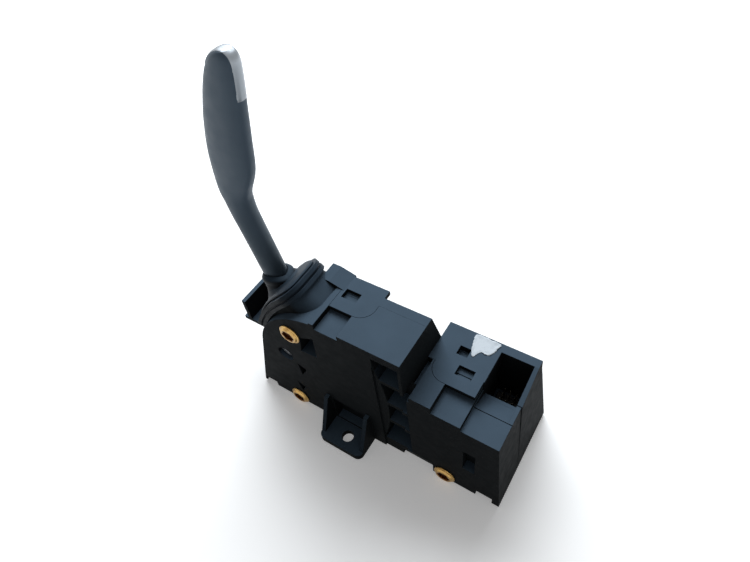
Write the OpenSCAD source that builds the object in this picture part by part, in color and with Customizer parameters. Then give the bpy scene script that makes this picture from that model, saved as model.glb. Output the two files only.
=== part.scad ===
// Gear selector stalk: a sensor module with a tilting lever, a rubber boot and a connector socket.
// Millimetres. The origin is the centre of the lug's bolt hole at the mounting face, +Z up,
// +X along the module towards the connector, +Y from the front plate to the back.

/* [Housing] */
// Distance from the lug's hole to the front face
face_y = 6; // [5:0.5:9]
// Height of the tall mechanism block above the mounting face
tower_h = 78.1; // [76:0.5:84]
// Left end of the tall block's flat roof, from the lug's hole
tower_left = 10; // [8:0.5:12]
// Right end of the tall block, from the lug's hole
tower_right = 30; // [29:0.5:31]
// Radius of the rounded shoulder under the boot
crown_r = 43; // [41:0.5:45]
// Lean of the left edge from upright, degrees
edge_lean = 15.6; // [13:0.2:18]
// Height of the low connector block
deck_h = 58.3; // [57:0.5:62]
// Height of the wall in front of the socket
sill_h = 52.8; // [51:0.5:54]
// Right end of the module at the socket, from the lug's hole
deck_right = 69; // [68.5:0.5:71]
// Right end of the module at its foot, from the lug's hole
foot_right = 72.3; // [72:0.5:76]
// Depth of the front shell, from the front face to the seam
front_d = 19.5; // [18:0.5:21]
// Depth of the tall block's roof
tower_d = 23.7; // [23:0.5:26]
// Depth of the shoulder behind the boot
crown_d = 28.2; // [27.5:0.5:30]
// Depth of the low block's roof
deck_d = 38.5; // [38:0.5:42]
// Depth of the module at its foot
foot_d = 49.5; // [48:0.5:54]
// Height of the shells' lower edge above the mounting face
foot_gap = 1; // [0.8:0.1:2]
// Wall of the shells
wall = 2.2; // [1.8:0.1:2.6]

/* [Mounting lug] */
// Diameter of the bolt hole
lug_hole_d = 5.5; // [4.5:0.1:6.5]
// Width of the lug
lug_w = 23; // [20:0.5:25]
// Thickness of the lug
lug_t = 3.3; // [2.5:0.1:4.5]
// Reach of the lug past the hole's centre
lug_reach = 6.4; // [5.5:0.1:9]
// Height of the gussets above the mounting face
gusset_h = 23; // [18:0.5:26]

/* [Screws] */
// Diameter of the screw heads
head_d = 9.9; // [8.5:0.1:10]
// Diameter of the screw shanks
shank_d = 4; // [3.5:0.1:4.5]
// Length of the screws under the head
screw_l = 24; // [22:0.5:25]
// Diameter of the screw bosses
boss_d = 10; // [10:0.1:11]

/* [Connector] */
// Width of the plug space
socket_w = 13.4; // [13:0.1:13.6]
// Length of the plug space behind the latch ramp
socket_l = 13.2; // [12.8:0.1:13.6]
// Length of the latch ramp in front of the plug space
mouth_l = 10.2; // [9.5:0.1:10.6]
// Depth of the socket below the low block's roof
socket_depth = 27.5; // [25:0.5:29]
// Pitch of the contacts
pin_pitch = 2.54; // [2:0.01:2.6]
// Width of a contact
pin_w = 0.64; // [0.5:0.02:0.8]

/* [Lever] */
// Height of the pivot above the mounting face
pivot_z = 42; // [40:0.5:44]
// Lean of the lever from upright, degrees
lever_lean = 10.4; // [8:0.2:13]
// Diameter of the lever's round stem
stem_d = 9.4; // [8.5:0.1:10.5]
// Length of the lever from the pivot to the neck of the paddle
neck_t = 69.5; // [66:0.5:74]
// Length of the paddle
paddle_l = 64; // [58:0.5:70]
// Width of the paddle
paddle_w = 19; // [17:0.2:22]
// Thickness of the paddle
paddle_t = 9.2; // [8:0.1:10.5]
// Width of the bright edge trim
trim_w = 4.4; // [3.5:0.1:5.5]

/* [Boot] */
// Length of the boot's frame along its slope
boot_l = 47; // [45:0.5:48]
// Width of the boot's frame
boot_w = 24.6; // [24:0.2:25]
// Slope of the boot's frame from level, degrees
boot_tilt = 54.8; // [53:0.2:56]
// Radius of the bow that the boot's frame follows
bow_r = 82; // [78:1:90]
// Diameter of the boot's collar
collar_d = 14.6; // [14:0.1:16]
// Wall of the rubber
rubber_t = 1.3; // [1:0.1:1.6]

/* [Mechanism] */
// Diameter of the pivot shaft
shaft_d = 6; // [5:0.1:7]
// Diameter of the carrier's hub
hub_d = 17; // [15:0.5:18]
// Width of the carrier along the pivot
hub_w = 11; // [10:0.5:12]
// Distance from the pivot to the foot of the magnet
magnet_reach = 25.2; // [24.5:0.1:25.6]
// Diameter of the magnet
magnet_d = 7; // [5:0.5:8]
// Diameter of the detent plunger
plunger_d = 5; // [4:0.1:6]
// Tilt of the lever to each side that the stops allow, degrees
tilt = 8; // [6:0.5:8]
// Height of the circuit board above the mounting face
board_z = 12; // [11.5:0.1:12.5]
// Thickness of the circuit board
board_t = 1.6; // [1.2:0.1:2]

/* [Hidden] */
$fn = 64;

// Clearances and overruns
over = 1;
fit = 0.1;
gap = 0.3;
running = 0.05;

// Places worked out from the housing's sizes
crown_x = -1.2;
crown_z = tower_h - crown_r;
seam_y = face_y + front_d;
roof_t = 2.1 * wall;
tongue_t = wall - gap;
plate_in = face_y + wall;
lever_y = face_y + 14.4;

// Places worked out from the socket's sizes
socket_x = 60.6;
mouth_y = face_y + 11.3;
mouth_drop = 6;
socket_y = mouth_y + mouth_l;
socket_back = socket_y + socket_l;
socket_floor = deck_h - socket_depth;
socket_left = socket_x - socket_w / 2;

// Screw places
upper_screw = [-22.7, tower_h - 15.6];
left_screw = [-31.4, boss_d / 2];
right_screw = [47.1, boss_d / 2];
screw_spots = [upper_screw, left_screw, right_screw];
head_t = 2.6;
boss_in_d = 7;

// Places worked out from the lever's sizes
pivot_x = -30.7;
hub_front = lever_y - hub_w / 2;
hub_back = lever_y + hub_w / 2;
tang_w = 5.6;
tang_y = 8;
tang_bottom = hub_d / 2 + gap;
tang_top = 24;
neck_x = pivot_x - neck_t * sin(lever_lean);
neck_z = pivot_z + neck_t * cos(lever_lean);
bush_wall = 2;
bush_flange_t = 1.2;
bush_flange_w = 1.5;
clip_t = 0.8;
clip_y = hub_back + gap;
clip_room = clip_t + 2 * gap;
rear_boss_y = hub_back + clip_room + bush_flange_t;

// Places worked out from the boot's sizes
boot_top = [-17.9, tower_h + 5.5];
boot_mid_x = boot_top.x - boot_l / 2 * cos(boot_tilt);
boot_mid_z = boot_top.y - boot_l / 2 * sin(boot_tilt);
boot_round = 9;
bow_rise = 4.1;
collar_rise = 19.5;
bead_t = 1.6;
bead_gap = 1;
frame_half_t = bead_t + bead_gap / 2;
seat_r = bow_r - frame_half_t - gap;
seat_inset = 1.4;
seat_depth = 22;
boot_x_share = sin(boot_tilt) / cos(boot_tilt - lever_lean);
boot_z_share = cos(boot_tilt) / cos(boot_tilt - lever_lean);
slope_t = (pivot_x - boot_mid_x) * boot_x_share - (pivot_z - boot_mid_z) * boot_z_share;
collar_top_t = slope_t + collar_rise;

// The paddle's sections as shares: place along X and Z of its length, width and thickness
paddle_shares = [
    [0, 0, 0.54, 1.04],
    [0.003, 0.172, 0.8, 1.02],
    [0.0625, 0.367, 1, 1],
    [0.114, 0.57, 0.96, 0.96],
    [0.17, 0.755, 0.84, 0.92],
    [0.255, 0.934, 0.68, 0.86]
];

tip_share = 0.102;

// Extrude an outline drawn in X and Z along Y
module prism(y0, y1) {
    translate([0, y1, 0])
        rotate([90, 0, 0])
            linear_extrude(height = y1 - y0)
                children();
}

// Extrude an outline drawn in Y and Z along X
module bar(x0, x1) {
    translate([x0, 0, 0])
        rotate([90, 0, 90])
            linear_extrude(height = x1 - x0)
                children();
}

// A box from its lowest to its highest corner
module block(low, high) {
    translate(low)
        cube(high - low);
}

// A rectangle from its lowest to its highest corner
module field(x0, z0, x1, z1) {
    translate([x0, z0])
        square([x1 - x0, z1 - z0]);
}

// A round bar along Y
module rod(x, z, y0, y1, r) {
    translate([x, y0, z])
        rotate([-90, 0, 0])
            cylinder(r = r, h = y1 - y0);
}

// A flat oblong with round corners, centred on its own plane
module oblong(l, w, r) {
    square([l - 2 * r, w], center = true);
    square([l, w - 2 * r], center = true);
    for (sx = [-1, 1], sy = [-1, 1])
        translate([sx * (l / 2 - r), sy * (w / 2 - r)])
            circle(r = r);
}

// Frames of the pieces that lie along the lever and on the boot's slope
module on_lever() {
    translate([pivot_x, lever_y, pivot_z])
        rotate([0, -lever_lean, 0])
            children();
}

module on_slope() {
    translate([boot_mid_x, lever_y, boot_mid_z])
        rotate([0, -boot_tilt, 0])
            children();
}

// Outline of the rounded left part
module crown_outline(inset) {
    r = crown_r - inset;
    low = foot_gap + inset;
    tangent = [crown_x - r * cos(edge_lean), crown_z + r * sin(edge_lean)];
    foot_x = tangent.x - (tangent.y - low) * tan(edge_lean);
    intersection() {
        union() {
            translate([crown_x, crown_z])
                circle(r = r);
            polygon([[foot_x, low], tangent, [crown_x, crown_z], [crown_x, low]]);
        }
        field(foot_x - over, low, crown_x, crown_z + r);
    }
}

// Outline of the tall block, and of the low block up to a given roof and right end
module tower_outline(inset, roof) {
    crown_outline(inset);
    field(-tower_left, foot_gap + inset, tower_right - inset, tower_h - roof);
}

module deck_outline(inset, x1, top) {
    polygon([
        [-tower_left, foot_gap + inset],
        [foot_right - inset, foot_gap + inset],
        [min(x1, deck_right - inset), top],
        [-tower_left, top]
    ]);
}

// Steps of the low block's roof over the front shell, and the step of the tall block's roof
step_1 = 41.4;
step_2 = 53.6;
step_h = 3.3;
tower_step_right = 3;
tower_step_h = 2.7;

module front_outline() {
    tower_outline(0, 0);
    deck_outline(0, deck_right, sill_h);
    field(tower_right - over, foot_gap, step_2, deck_h - step_h);
    field(tower_right + wall + fit, foot_gap, step_1, deck_h);
}

// Inside space of both shells, seen from the front
module cavity_outline() {
    tower_outline(wall, roof_t);
    field(-tower_left, foot_gap + wall, socket_left - 2 * wall, deck_h - roof_t - wall);
    field(-tower_left, foot_gap + wall, deck_right - wall, socket_floor - wall);
}

// Plug space of the socket, and the ramp that leads the plug's latch into it
module socket_space() {
    block(
        [socket_left, socket_y, socket_floor],
        [socket_left + socket_w, socket_back, deck_h + over]
    );
    bar(socket_left, socket_left + socket_w)
        polygon([
            [mouth_y, sill_h],
            [socket_y + over, sill_h - mouth_drop],
            [socket_y + over, deck_h + over],
            [mouth_y, deck_h + over]
        ]);
}

// Raised seat that carries the boot's frame, and the way through it
module slope_prism(inset, low) {
    on_slope()
        translate([0, 0, low])
            linear_extrude(height = 2 * seat_depth)
                oblong(boot_l - 2 * inset, boot_w - 2 * inset, boot_round - inset);
}

// Everything within a radius of the axis that the boot's frame is bowed about
module bow(r) {
    on_slope()
        translate([0, 0, bow_rise - bow_r])
            rotate([90, 0, 0])
                cylinder(r = r, h = 2 * boot_w, center = true, $fn = 256);
}

module boot_seat() {
    intersection() {
        slope_prism(seat_inset, -seat_depth);
        bow(seat_r);
    }
}

module boot_way() {
    slope_prism(seat_inset + wall, -seat_depth - over);
}

module frame_recess() {
    difference() {
        slope_prism(-gap, -seat_depth / 2);
        bow(seat_r);
    }
}

// Raised back of the crown between the boot's frame and the flat roof
hump_right = -6.6;
hump_left = -17.5;
hump_knee = -13.5;
hump_rise = 1.9;
hump_y = face_y + 3.5;
hump_run = 4;

module crown_hump(y0, y1) {
    intersection() {
        prism(y0, y1)
            polygon([
                [hump_right, tower_h],
                [hump_knee, tower_h + hump_rise],
                [hump_left, tower_h + hump_rise],
                [hump_left - seat_depth / 2, tower_h - seat_depth],
                [hump_right, tower_h - seat_depth / 2]
            ]);
        bar(-tower_h, hump_right)
            polygon([
                [hump_y, tower_h - seat_depth],
                [hump_y, tower_h - hump_rise],
                [hump_y + hump_run, tower_h + hump_rise],
                [face_y + crown_d, tower_h + hump_rise],
                [face_y + crown_d, tower_h - seat_depth]
            ]);
    }
}

// Snap tongues of the rear shell: plan, window and the catch inside it
tongue_a = [-7.7, 9.6, face_y + 10.7];
tongue_b = [33.2, 53.6, face_y + 12];
tongue_round = 6.5;
tongue_root = 8;
window_w = 6.8;
window_l = 4.4;
window_a = [-6, seam_y - 3];
window_b = [42.4, seam_y - 2];
catch_gap = 0.6;

module tongue_plan(tongue, left_round, grow) {
    x0 = tongue.x - grow;
    x1 = tongue.y + grow;
    y0 = tongue.z - grow;
    r = tongue_round;
    round_x = left_round ? x0 + r : x1 - r;
    field(x0, y0 + r, x1, seam_y + (grow > 0 ? over : tongue_root));
    field(left_round ? x0 + r : x0, y0, left_round ? x1 : x1 - r, y0 + r);
    translate([round_x, y0 + r])
        circle(r = r);
}

module tongue_solid(tongue, left_round, top, grow) {
    translate([0, 0, top - tongue_t - grow])
        linear_extrude(height = tongue_t + grow + (grow > 0 ? over : 0))
            tongue_plan(tongue, left_round, grow);
}

module tongue_window(window, top) {
    block([window.x, window.y, top - tongue_t], [window.x + window_w, window.y + window_l, top + over]);
}

module snap_catch(window, top) {
    block(
        [window.x + catch_gap, window.y + catch_gap, top - tongue_t - wall],
        [window.x + window_w - catch_gap, seam_y - gap, top - catch_gap]
    );
}

// Wells sunk into the front plate, each with its own walls inside the shell
well_wall = 1.3;
deep_well = 8;
flat_well = 4;
axle_ring = 1;
deep_points = [[-17.6, 63], [-10.2, 67.2], [-11.2, 53.3], [-19.5, 52.3]];
upper_points = [[-25, 38.5], [-20.6, 36], [-24.5, 29]];
lower_points = [[-30, 19.5], [-25.6, 17], [-28.5, 12]];
side_points = [[55.2, 21.2], [60.4, 21.2], [60.4, 37], [55.2, 37]];
lug_well = [-9.2, 7.2];
lug_well_z = [lug_t + 1.5, gusset_h - 2];

// Points moved outwards from their middle
function middle(points, k) = (min([for (p = points) p[k]]) + max([for (p = points) p[k]])) / 2;
function grown(points, grow) = [
    for (p = points) [
        p.x + sign(p.x - middle(points, 0)) * grow,
        p.y + sign(p.y - middle(points, 1)) * grow
    ]
];

module axle_well(grow) {
    rod(pivot_x, pivot_z, face_y - over, plate_in + grow, shaft_d / 2 + axle_ring + grow);
}

module plate_wells(grow) {
    prism(face_y - over, face_y + deep_well + grow)
        polygon(grown(deep_points, grow));
    prism(face_y - over, face_y + flat_well + grow) {
        polygon(grown(upper_points, grow));
        polygon(grown(lower_points, grow));
        polygon(grown(side_points, grow));
        field(lug_well.x - grow, lug_well_z.x - grow, lug_well.y + grow, lug_well_z.y + grow);
    }
}

// Ribbed pockets between the disc's edge and the low block
pocket_x0 = 21.5;
pocket_x1 = 31.2;
pocket_z0 = 9;
pocket_z1 = 74;
pocket_knee = 57.5;
pocket_run = 4;
pocket_ribs_shares = [0.28, 0.51, 0.745];
pocket_rib_t = 2;
pocket_bow_r = 90;

module pocket_bow(shift, grow) {
    translate([pocket_x0 - pocket_bow_r - shift, pivot_z - pocket_run])
        circle(r = pocket_bow_r - grow, $fn = 256);
}

module pocket_outline(grow) {
    left = pocket_x0 - pocket_run - grow;
    difference() {
        union() {
            field(left, pocket_z0 - grow, pocket_x1 + grow, pocket_knee + grow);
            field(left, pocket_z0 - grow, tower_right - well_wall + grow, pocket_z1 + grow);
        }
        pocket_bow(0, grow);
    }
}

module ribbed_pockets() {
    difference() {
        prism(face_y - over, face_y + deep_well)
            pocket_outline(0);
        for (share = pocket_ribs_shares)
            prism(face_y - 2 * over, face_y + deep_well + over)
                field(
                    pocket_x0 - 2 * pocket_run, pocket_z0 + share * (pocket_z1 - pocket_z0),
                    pocket_x1 + over, pocket_z0 + share * (pocket_z1 - pocket_z0) + pocket_rib_t
                );
    }
}

// Step in the front plate between the proud disc and the band beside it
band_depth = 0.8;
band_x = 17;
band_top = 72;
band_round = 4;
band_shift = 4.4;

module plate_band() {
    prism(face_y - over, face_y + band_depth)
        difference() {
            field(band_x, foot_gap - over, tower_right - well_wall, band_top);
            translate([band_x, band_top])
                circle(r = band_round);
            pocket_bow(band_shift, 0);
        }
}

// Sloped undercuts along the bottom front edge: left end, right end and height of each
cut_spots = [[26, 41.3, 12.5], [61.5, 69, 7], [-54, -47, 6]];

module bottom_cuts() {
    for (spot = cut_spots)
        bar(spot.x, spot.y)
            polygon([
                [face_y - over, foot_gap - over], [face_y + wall, foot_gap - over],
                [face_y + wall, foot_gap], [face_y - over, spot.z]
            ]);
}

// The lug, with its gussets up the front plate
lug_x = -0.85;
lug_round = 3;
gusset_t = 2;

module lug_solid() {
    lug_l = lug_reach + face_y + wall;
    translate([lug_x, lug_l / 2 - lug_reach, 0])
        linear_extrude(height = lug_t)
            oblong(lug_w, lug_l, lug_round);
    for (side = [-1, 1])
        bar(
            lug_x + side * (lug_w - gusset_t) / 2 - gusset_t / 2,
            lug_x + side * (lug_w - gusset_t) / 2 + gusset_t / 2
        )
            polygon([
                [-lug_reach + lug_round, 0], [-lug_reach + lug_round, lug_t],
                [face_y - gusset_t, gusset_h], [plate_in, gusset_h], [plate_in, 0]
            ]);
}

// Posts that carry the lever's end stops
pad_t = 2.5;
pad_h = 7;
pad_z = pivot_z - 19;
arm_w = 8;
stop_x = arm_w / 2 / cos(tilt) + (pivot_z - pad_z + pad_h / 2) * tan(tilt) + gap;
post_t = 3;

module stop_posts() {
    for (side = [-1, 1]) {
        near = pivot_x + side * (stop_x + pad_t);
        far = near + side * post_t;
        block(
            [min(near, far), plate_in - over, pad_z - pad_h / 2],
            [max(near, far), hub_back, pad_z + pad_h / 2]
        );
    }
}

// Ledges that hold the front edge of the circuit board
ledge_d = 3;
ledge_t = 2;
board_front = plate_in + deep_well;

ledge_spots = [-44, 36, 61];

module board_ledges() {
    for (x = ledge_spots)
        block(
            [x, plate_in - over, board_z - ledge_t],
            [x + 2 * ledge_t, board_front + ledge_d, board_z]
        );
}

module front_housing() {
    color("#26292c")
    difference() {
        union() {
            difference() {
                union() {
                    prism(face_y, seam_y)
                        front_outline();
                    intersection() {
                        boot_seat();
                        prism(face_y, seam_y)
                            field(-tower_h, 0, tower_right, 2 * tower_h);
                    }
                    crown_hump(face_y, seam_y);
                }
                prism(plate_in, seam_y + over)
                    cavity_outline();
                boot_way();
            }
            intersection() {
                union() {
                    axle_well(well_wall);
                    plate_wells(well_wall);
                    prism(face_y, face_y + deep_well + well_wall)
                        pocket_outline(well_wall);
                    stop_posts();
                    board_ledges();
                    block(
                        [tongue_a.x - 2 * wall, plate_in - over, tower_h - roof_t],
                        [tower_step_right + 2 * wall, tongue_a.z + 2 * wall, tower_h]
                    );
                }
                prism(face_y, seam_y + over)
                    front_outline();
            }
            rod(pivot_x, pivot_z, plate_in - over, hub_front - bush_flange_t - gap, shaft_d / 2 + bush_wall + wall);
            lug_solid();
            for (spot = screw_spots)
                rod(spot.x, spot.y, face_y, seam_y, spot == upper_screw ? boss_in_d / 2 : boss_d / 2);
            snap_catch(window_a, tower_h);
            snap_catch(window_b, deck_h);
        }
        translate([0, 0, -over])
            cylinder(d = lug_hole_d, h = lug_t + 2 * over);
        for (spot = screw_spots)
            rod(spot.x, spot.y, face_y - over, seam_y + over, shank_d / 2 + fit);
        axle_well(0);
        rod(pivot_x, pivot_z, plate_in, seam_y, shaft_d / 2 + bush_wall + running);
        plate_wells(0);
        ribbed_pockets();
        plate_band();
        bottom_cuts();
        socket_space();
        header_window(0);
        frame_recess();
        tongue_solid(tongue_a, false, tower_h, fit);
        tongue_solid(tongue_b, true, deck_h, fit);
        block(
            [tongue_a.x - fit, face_y - over, tower_h - tower_step_h],
            [tower_step_right, tongue_a.z + over, tower_h + over]
        );
        block([socket_left, mouth_y - gap, sill_h - wall / 2], [foot_right, mouth_y, sill_h + over]);
        block([step_1, face_y - over, deck_h - step_h], [step_2, tongue_b.z + over, deck_h + over]);
    }
}

// Side sections of the rear shell, in Y and Z, for its three stretches
module back_section(top_y, knee_z, top_z, inset, roof) {
    polygon([
        [seam_y - (inset > 0 ? over : 0), foot_gap + inset],
        [face_y + foot_d - inset, foot_gap + inset],
        [top_y - inset, knee_z],
        [top_y - inset, top_z - roof],
        [seam_y - (inset > 0 ? over : 0), top_z - roof]
    ]);
}

crown_right = -9;
deck_window = [38.8, 32];
deck_window_w = 4.6;
deck_window_l = 4.2;
deck_window_depth = 3;
crown_knee = 65;

module rear_sections(inset, roof) {
    bar(-tower_h, crown_right - inset)
        back_section(face_y + crown_d, crown_knee, 2 * tower_h, inset, roof);
    bar(crown_right - over - inset, tower_right + wall + fit)
        back_section(face_y + tower_d, tower_h - 2 * roof, tower_h, inset, roof);
    bar(tower_right, foot_right)
        back_section(face_y + deck_d, deck_h - 2 * wall, deck_h, inset, roof);
}

module rear_outline() {
    tower_outline(0, 0);
    deck_outline(0, deck_right, deck_h);
}

// Open guide channel on the left side, for what clips beside the module
guide_x0 = -64.5;
guide_x1 = -40;
guide_y0 = face_y + 11;
guide_y1 = face_y + 31;
guide_z0 = 32;
guide_z1 = 47;
guide_t = 2;
guide_lip = 2.6;
guide_hole = [6, 14];

module side_guide() {
    difference() {
        union() {
            block([guide_x0, guide_y0, guide_z0], [guide_x1, guide_y1, guide_z0 + guide_t]);
            block([guide_x0, guide_y0, guide_z0], [guide_x0 + guide_t, guide_y1, guide_z1]);
            block([guide_x0, guide_y1 - guide_t, guide_z0], [guide_x1, guide_y1, guide_z1]);
            block([guide_x0 - guide_lip, guide_y0, guide_z0], [guide_x0 + over, guide_y1, guide_z0 + guide_t]);
        }
        block(
            [guide_x0 + guide_hole.x, guide_y1 - 2 * guide_t, guide_z0 + guide_hole.x],
            [guide_x0 + guide_hole.y, guide_y1 + over, guide_z1 - 2 * guide_t]
        );
        prism(face_y - over, seam_y)
            crown_outline(-gap);
        prism(seam_y - over, guide_y1 + over)
            crown_outline(wall);
    }
}

// Pedestal of the detent track, and the posts of the circuit board
track_r = 27;
track_t = 6;
track_h = 22;
track_y0 = hub_front + 1;
track_y1 = seam_y;
post_d = 7;
board_posts = [[-38, face_y + 32], [14, face_y + 32], [44, face_y + 36]];
board_screw_d = 2.5;
board_screw_l = 7;

module track_pedestal() {
    x0 = pivot_x + track_r;
    block(
        [x0, track_y1, pivot_z - track_h / 2],
        [x0 + track_t, face_y + foot_d, pivot_z + track_h / 2]
    );
}

module rear_housing() {
    color("#26292c")
    difference() {
        union() {
            difference() {
                union() {
                    intersection() {
                        prism(seam_y, face_y + foot_d)
                            rear_outline();
                        rear_sections(0, 0);
                    }
                    intersection() {
                        boot_seat();
                        prism(seam_y, face_y + crown_d)
                            field(-tower_h, 0, tower_right, 2 * tower_h);
                    }
                    crown_hump(seam_y, face_y + crown_d);
                }
                intersection() {
                    prism(seam_y - over, face_y + foot_d)
                        cavity_outline();
                    rear_sections(wall, roof_t);
                }
                boot_way();
            }
            intersection() {
                union() {
                    track_pedestal();
                    for (post = board_posts)
                        translate([post.x, post.y, foot_gap])
                            cylinder(d = post_d, h = board_z - foot_gap);
                    rod(pivot_x, pivot_z, rear_boss_y, face_y + foot_d, shaft_d / 2 + bush_wall + wall);
                }
                rear_sections(0, 0);
            }
            for (spot = screw_spots)
                intersection() {
                    rod(
                        spot.x, spot.y, seam_y, face_y + min(screw_l + 2 * wall, crown_d),
                        spot == upper_screw ? boss_in_d / 2 : boss_d / 2
                    );
                    bar(-tower_h, foot_right)
                        back_section(face_y + crown_d, crown_knee, 2 * tower_h, -boss_d, 0);
                }
            tongue_solid(tongue_a, false, tower_h, 0);
            tongue_solid(tongue_b, true, deck_h, 0);
            side_guide();
        }
        for (spot = screw_spots)
            rod(spot.x, spot.y, seam_y - over, face_y + screw_l + wall, shank_d / 2 + fit);
        rod(pivot_x, pivot_z, seam_y, bush_back + fit, shaft_d / 2 + bush_wall + running);
        for (post = board_posts)
            translate([post.x, post.y, board_z - board_screw_l])
                cylinder(d = board_screw_d + 2 * fit, h = board_screw_l + over);
        socket_space();
        header_window(0);
        bar(socket_left + socket_w, foot_right)
            polygon([[seam_y - over, sill_h], [socket_back, deck_h], [socket_back, deck_h + over], [seam_y - over, deck_h + over]]);
        frame_recess();
        tongue_window(window_a, tower_h);
        tongue_window(window_b, deck_h);
        block(
            [deck_window.x, deck_window.y, deck_h - deck_window_depth],
            [deck_window.x + deck_window_w, deck_window.y + deck_window_l, deck_h + over]
        );
    }
}

// Frame that clamps the boot: two beads with a groove between them, bowed over the crown
module bowed_ring(inset, r0, r1) {
    difference() {
        intersection() {
            slope_prism(inset, -seat_depth / 2);
            bow(r1);
        }
        bow(r0);
    }
}

module boot_frame() {
    color("#1b1d1f")
    difference() {
        union() {
            bowed_ring(0, bow_r - frame_half_t, bow_r - bead_gap / 2);
            bowed_ring(bead_gap, bow_r - frame_half_t, bow_r + frame_half_t);
            bowed_ring(0, bow_r + bead_gap / 2, bow_r + frame_half_t);
        }
        slope_prism(seat_inset + wall, -seat_depth);
    }
}

// Rubber boot from the frame up to the lever's collar
foot_r = bow_r + frame_half_t + gap;
boot_inset = 1.5;
shoulder_h = 1.6;
lip_t = 2.1;
cone_foot_t = slope_t - 4.9;
cone_top_t = collar_top_t - lip_t - gap - 3;
cone_foot_r = collar_d / 2 + 3.2;
cone_top_r = collar_d / 2 + 0.2;

module boot_skin(t) {
    intersection() {
        slope_prism(boot_inset + t, -seat_depth / 2);
        bow(foot_r + shoulder_h - t);
    }
    on_lever()
        translate([0, 0, cone_foot_t - t])
            cylinder(r1 = cone_foot_r - t, r2 = cone_top_r - t, h = cone_top_t - cone_foot_t);
}

module boot() {
    color("#202326")
    difference() {
        union() {
            boot_skin(0);
            on_lever()
                translate([0, 0, cone_top_t - over])
                    cylinder(d = collar_d, h = collar_top_t - lip_t - gap - cone_top_t + over);
        }
        boot_skin(rubber_t);
        on_lever()
            translate([0, 0, tang_bottom])
                cylinder(r = stem_d / 2 + gap, h = collar_top_t);
        bow(foot_r);
    }
}

module collar_ring() {
    color("#17191b")
    on_lever()
        translate([0, 0, collar_top_t - lip_t])
            difference() {
                cylinder(d = collar_d - 2 * gap, h = lip_t);
                translate([0, 0, -over])
                    cylinder(d = stem_d + 2 * fit, h = lip_t + 2 * over);
            }
}

// Inner core of the lever, from its tang in the carrier up into the grip
core_d = 6;
core_top = neck_t - 2;

module lever_core() {
    color("#8d9094")
    on_lever()
        difference() {
            union() {
                translate([-tang_w / 2, -tang_y / 2, tang_bottom])
                    cube([tang_w, tang_y, tang_top - tang_bottom]);
                translate([0, 0, tang_top - over])
                    cylinder(d = core_d, h = core_top - tang_top + over);
            }
            translate([0, -tang_y, pin_t])
                rotate([-90, 0, 0])
                    cylinder(d = pin_d + 2 * running, h = 2 * tang_y);
        }
}

// Paddle of the lever as a chain of rounded sections
module paddle_section(i) {
    row = paddle_shares[i];
    half = paddle_w * row[2] / 2;
    translate([neck_x + row[0] * paddle_l, lever_y, neck_z + row[1] * paddle_l])
        scale([half, paddle_t * row[3] / 2, i == 0 ? half : min(half, tip_share * paddle_l)])
            sphere(r = 1, $fn = 32);
}

module paddle() {
    for (i = [0:len(paddle_shares) - 2])
        hull() {
            paddle_section(i);
            paddle_section(i + 1);
        }
}

// Edge band that the trim fills: over the tip and down the right edge, as shares of the paddle's length
trim_shares = [
    [0.043, 0.931], [0.213, 0.986], [0.278, 0.986], [0.308, 0.936],
    [0.258, 0.791], [0.543, 0.791], [0.543, 1.166], [0.043, 1.166]
];

module trim_zone(grow) {
    prism(lever_y - trim_w / 2 - grow, lever_y + trim_w / 2 + grow)
        translate([neck_x - grow, neck_z - grow])
            polygon(paddle_l * trim_shares);
}

module lever_grip() {
    color("#2b2f33")
    difference() {
        union() {
            on_lever()
                translate([0, 0, tang_top + fit])
                    cylinder(d = stem_d, h = neck_t - tang_top);
            paddle();
        }
        trim_zone(fit);
        on_lever()
            translate([0, 0, tang_top - over])
                cylinder(d = core_d + 2 * fit, h = core_top - tang_top + over + gap);
    }
}

module lever_trim() {
    color("#c4c7ca")
    intersection() {
        paddle();
        trim_zone(0);
    }
}

// Carrier that turns on the pivot shaft: hub, lever socket, plunger barrel and magnet arm
pin_d = 3;
pin_t = 15.5;
tower_w = tang_w + 2 * wall;
socket_top = 21;
barrel_end = 20;
barrel_start = 9;
arm_end = magnet_reach - 1.2;

module selector_carrier() {
    color("#d8d3c4")
    translate([pivot_x, lever_y, pivot_z])
        difference() {
            union() {
                rotate([90, 0, 0])
                    cylinder(d = hub_d, h = hub_w, center = true);
                rotate([0, -lever_lean, 0])
                    translate([-tower_w / 2, -hub_w / 2, 0])
                        cube([tower_w, hub_w, socket_top]);
                rotate([0, 90, 0])
                    cylinder(d = plunger_d + 2 * wall, h = barrel_end);
                translate([-arm_w / 2, -hub_w / 2, -arm_end])
                    cube([arm_w, hub_w, arm_end]);
            }
            rotate([90, 0, 0])
                cylinder(d = shaft_d + 2 * running, h = hub_w + 2 * over, center = true);
            rotate([0, -lever_lean, 0]) {
                translate([-tang_w / 2 - fit, -tang_y / 2 - fit, tang_bottom - gap])
                    cube([tang_w + 2 * fit, tang_y + 2 * fit, tang_top]);
                translate([0, -hub_w, pin_t])
                    rotate([-90, 0, 0])
                        cylinder(d = pin_d + 2 * running, h = 2 * hub_w);
            }
            translate([barrel_start, 0, 0])
                rotate([0, 90, 0])
                    cylinder(d = plunger_d + 2 * running, h = barrel_end);
            translate([0, 0, -magnet_reach])
                cylinder(d = magnet_d + 2 * running, h = magnet_h);
        }
}

magnet_h = 4;

module position_magnet() {
    color("#6f7276")
    translate([pivot_x, lever_y, pivot_z - magnet_reach])
        cylinder(d = magnet_d, h = magnet_h - fit);
}

// Pivot shaft with its flanged bushes and retaining clip
shaft_front = face_y + 1.6;
shaft_back = face_y + 27.6;
bush_front = plate_in + 0.4;
bush_back = face_y + 27.9;
clip_groove_d = 4.6;
clip_w = 1.6;

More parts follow.
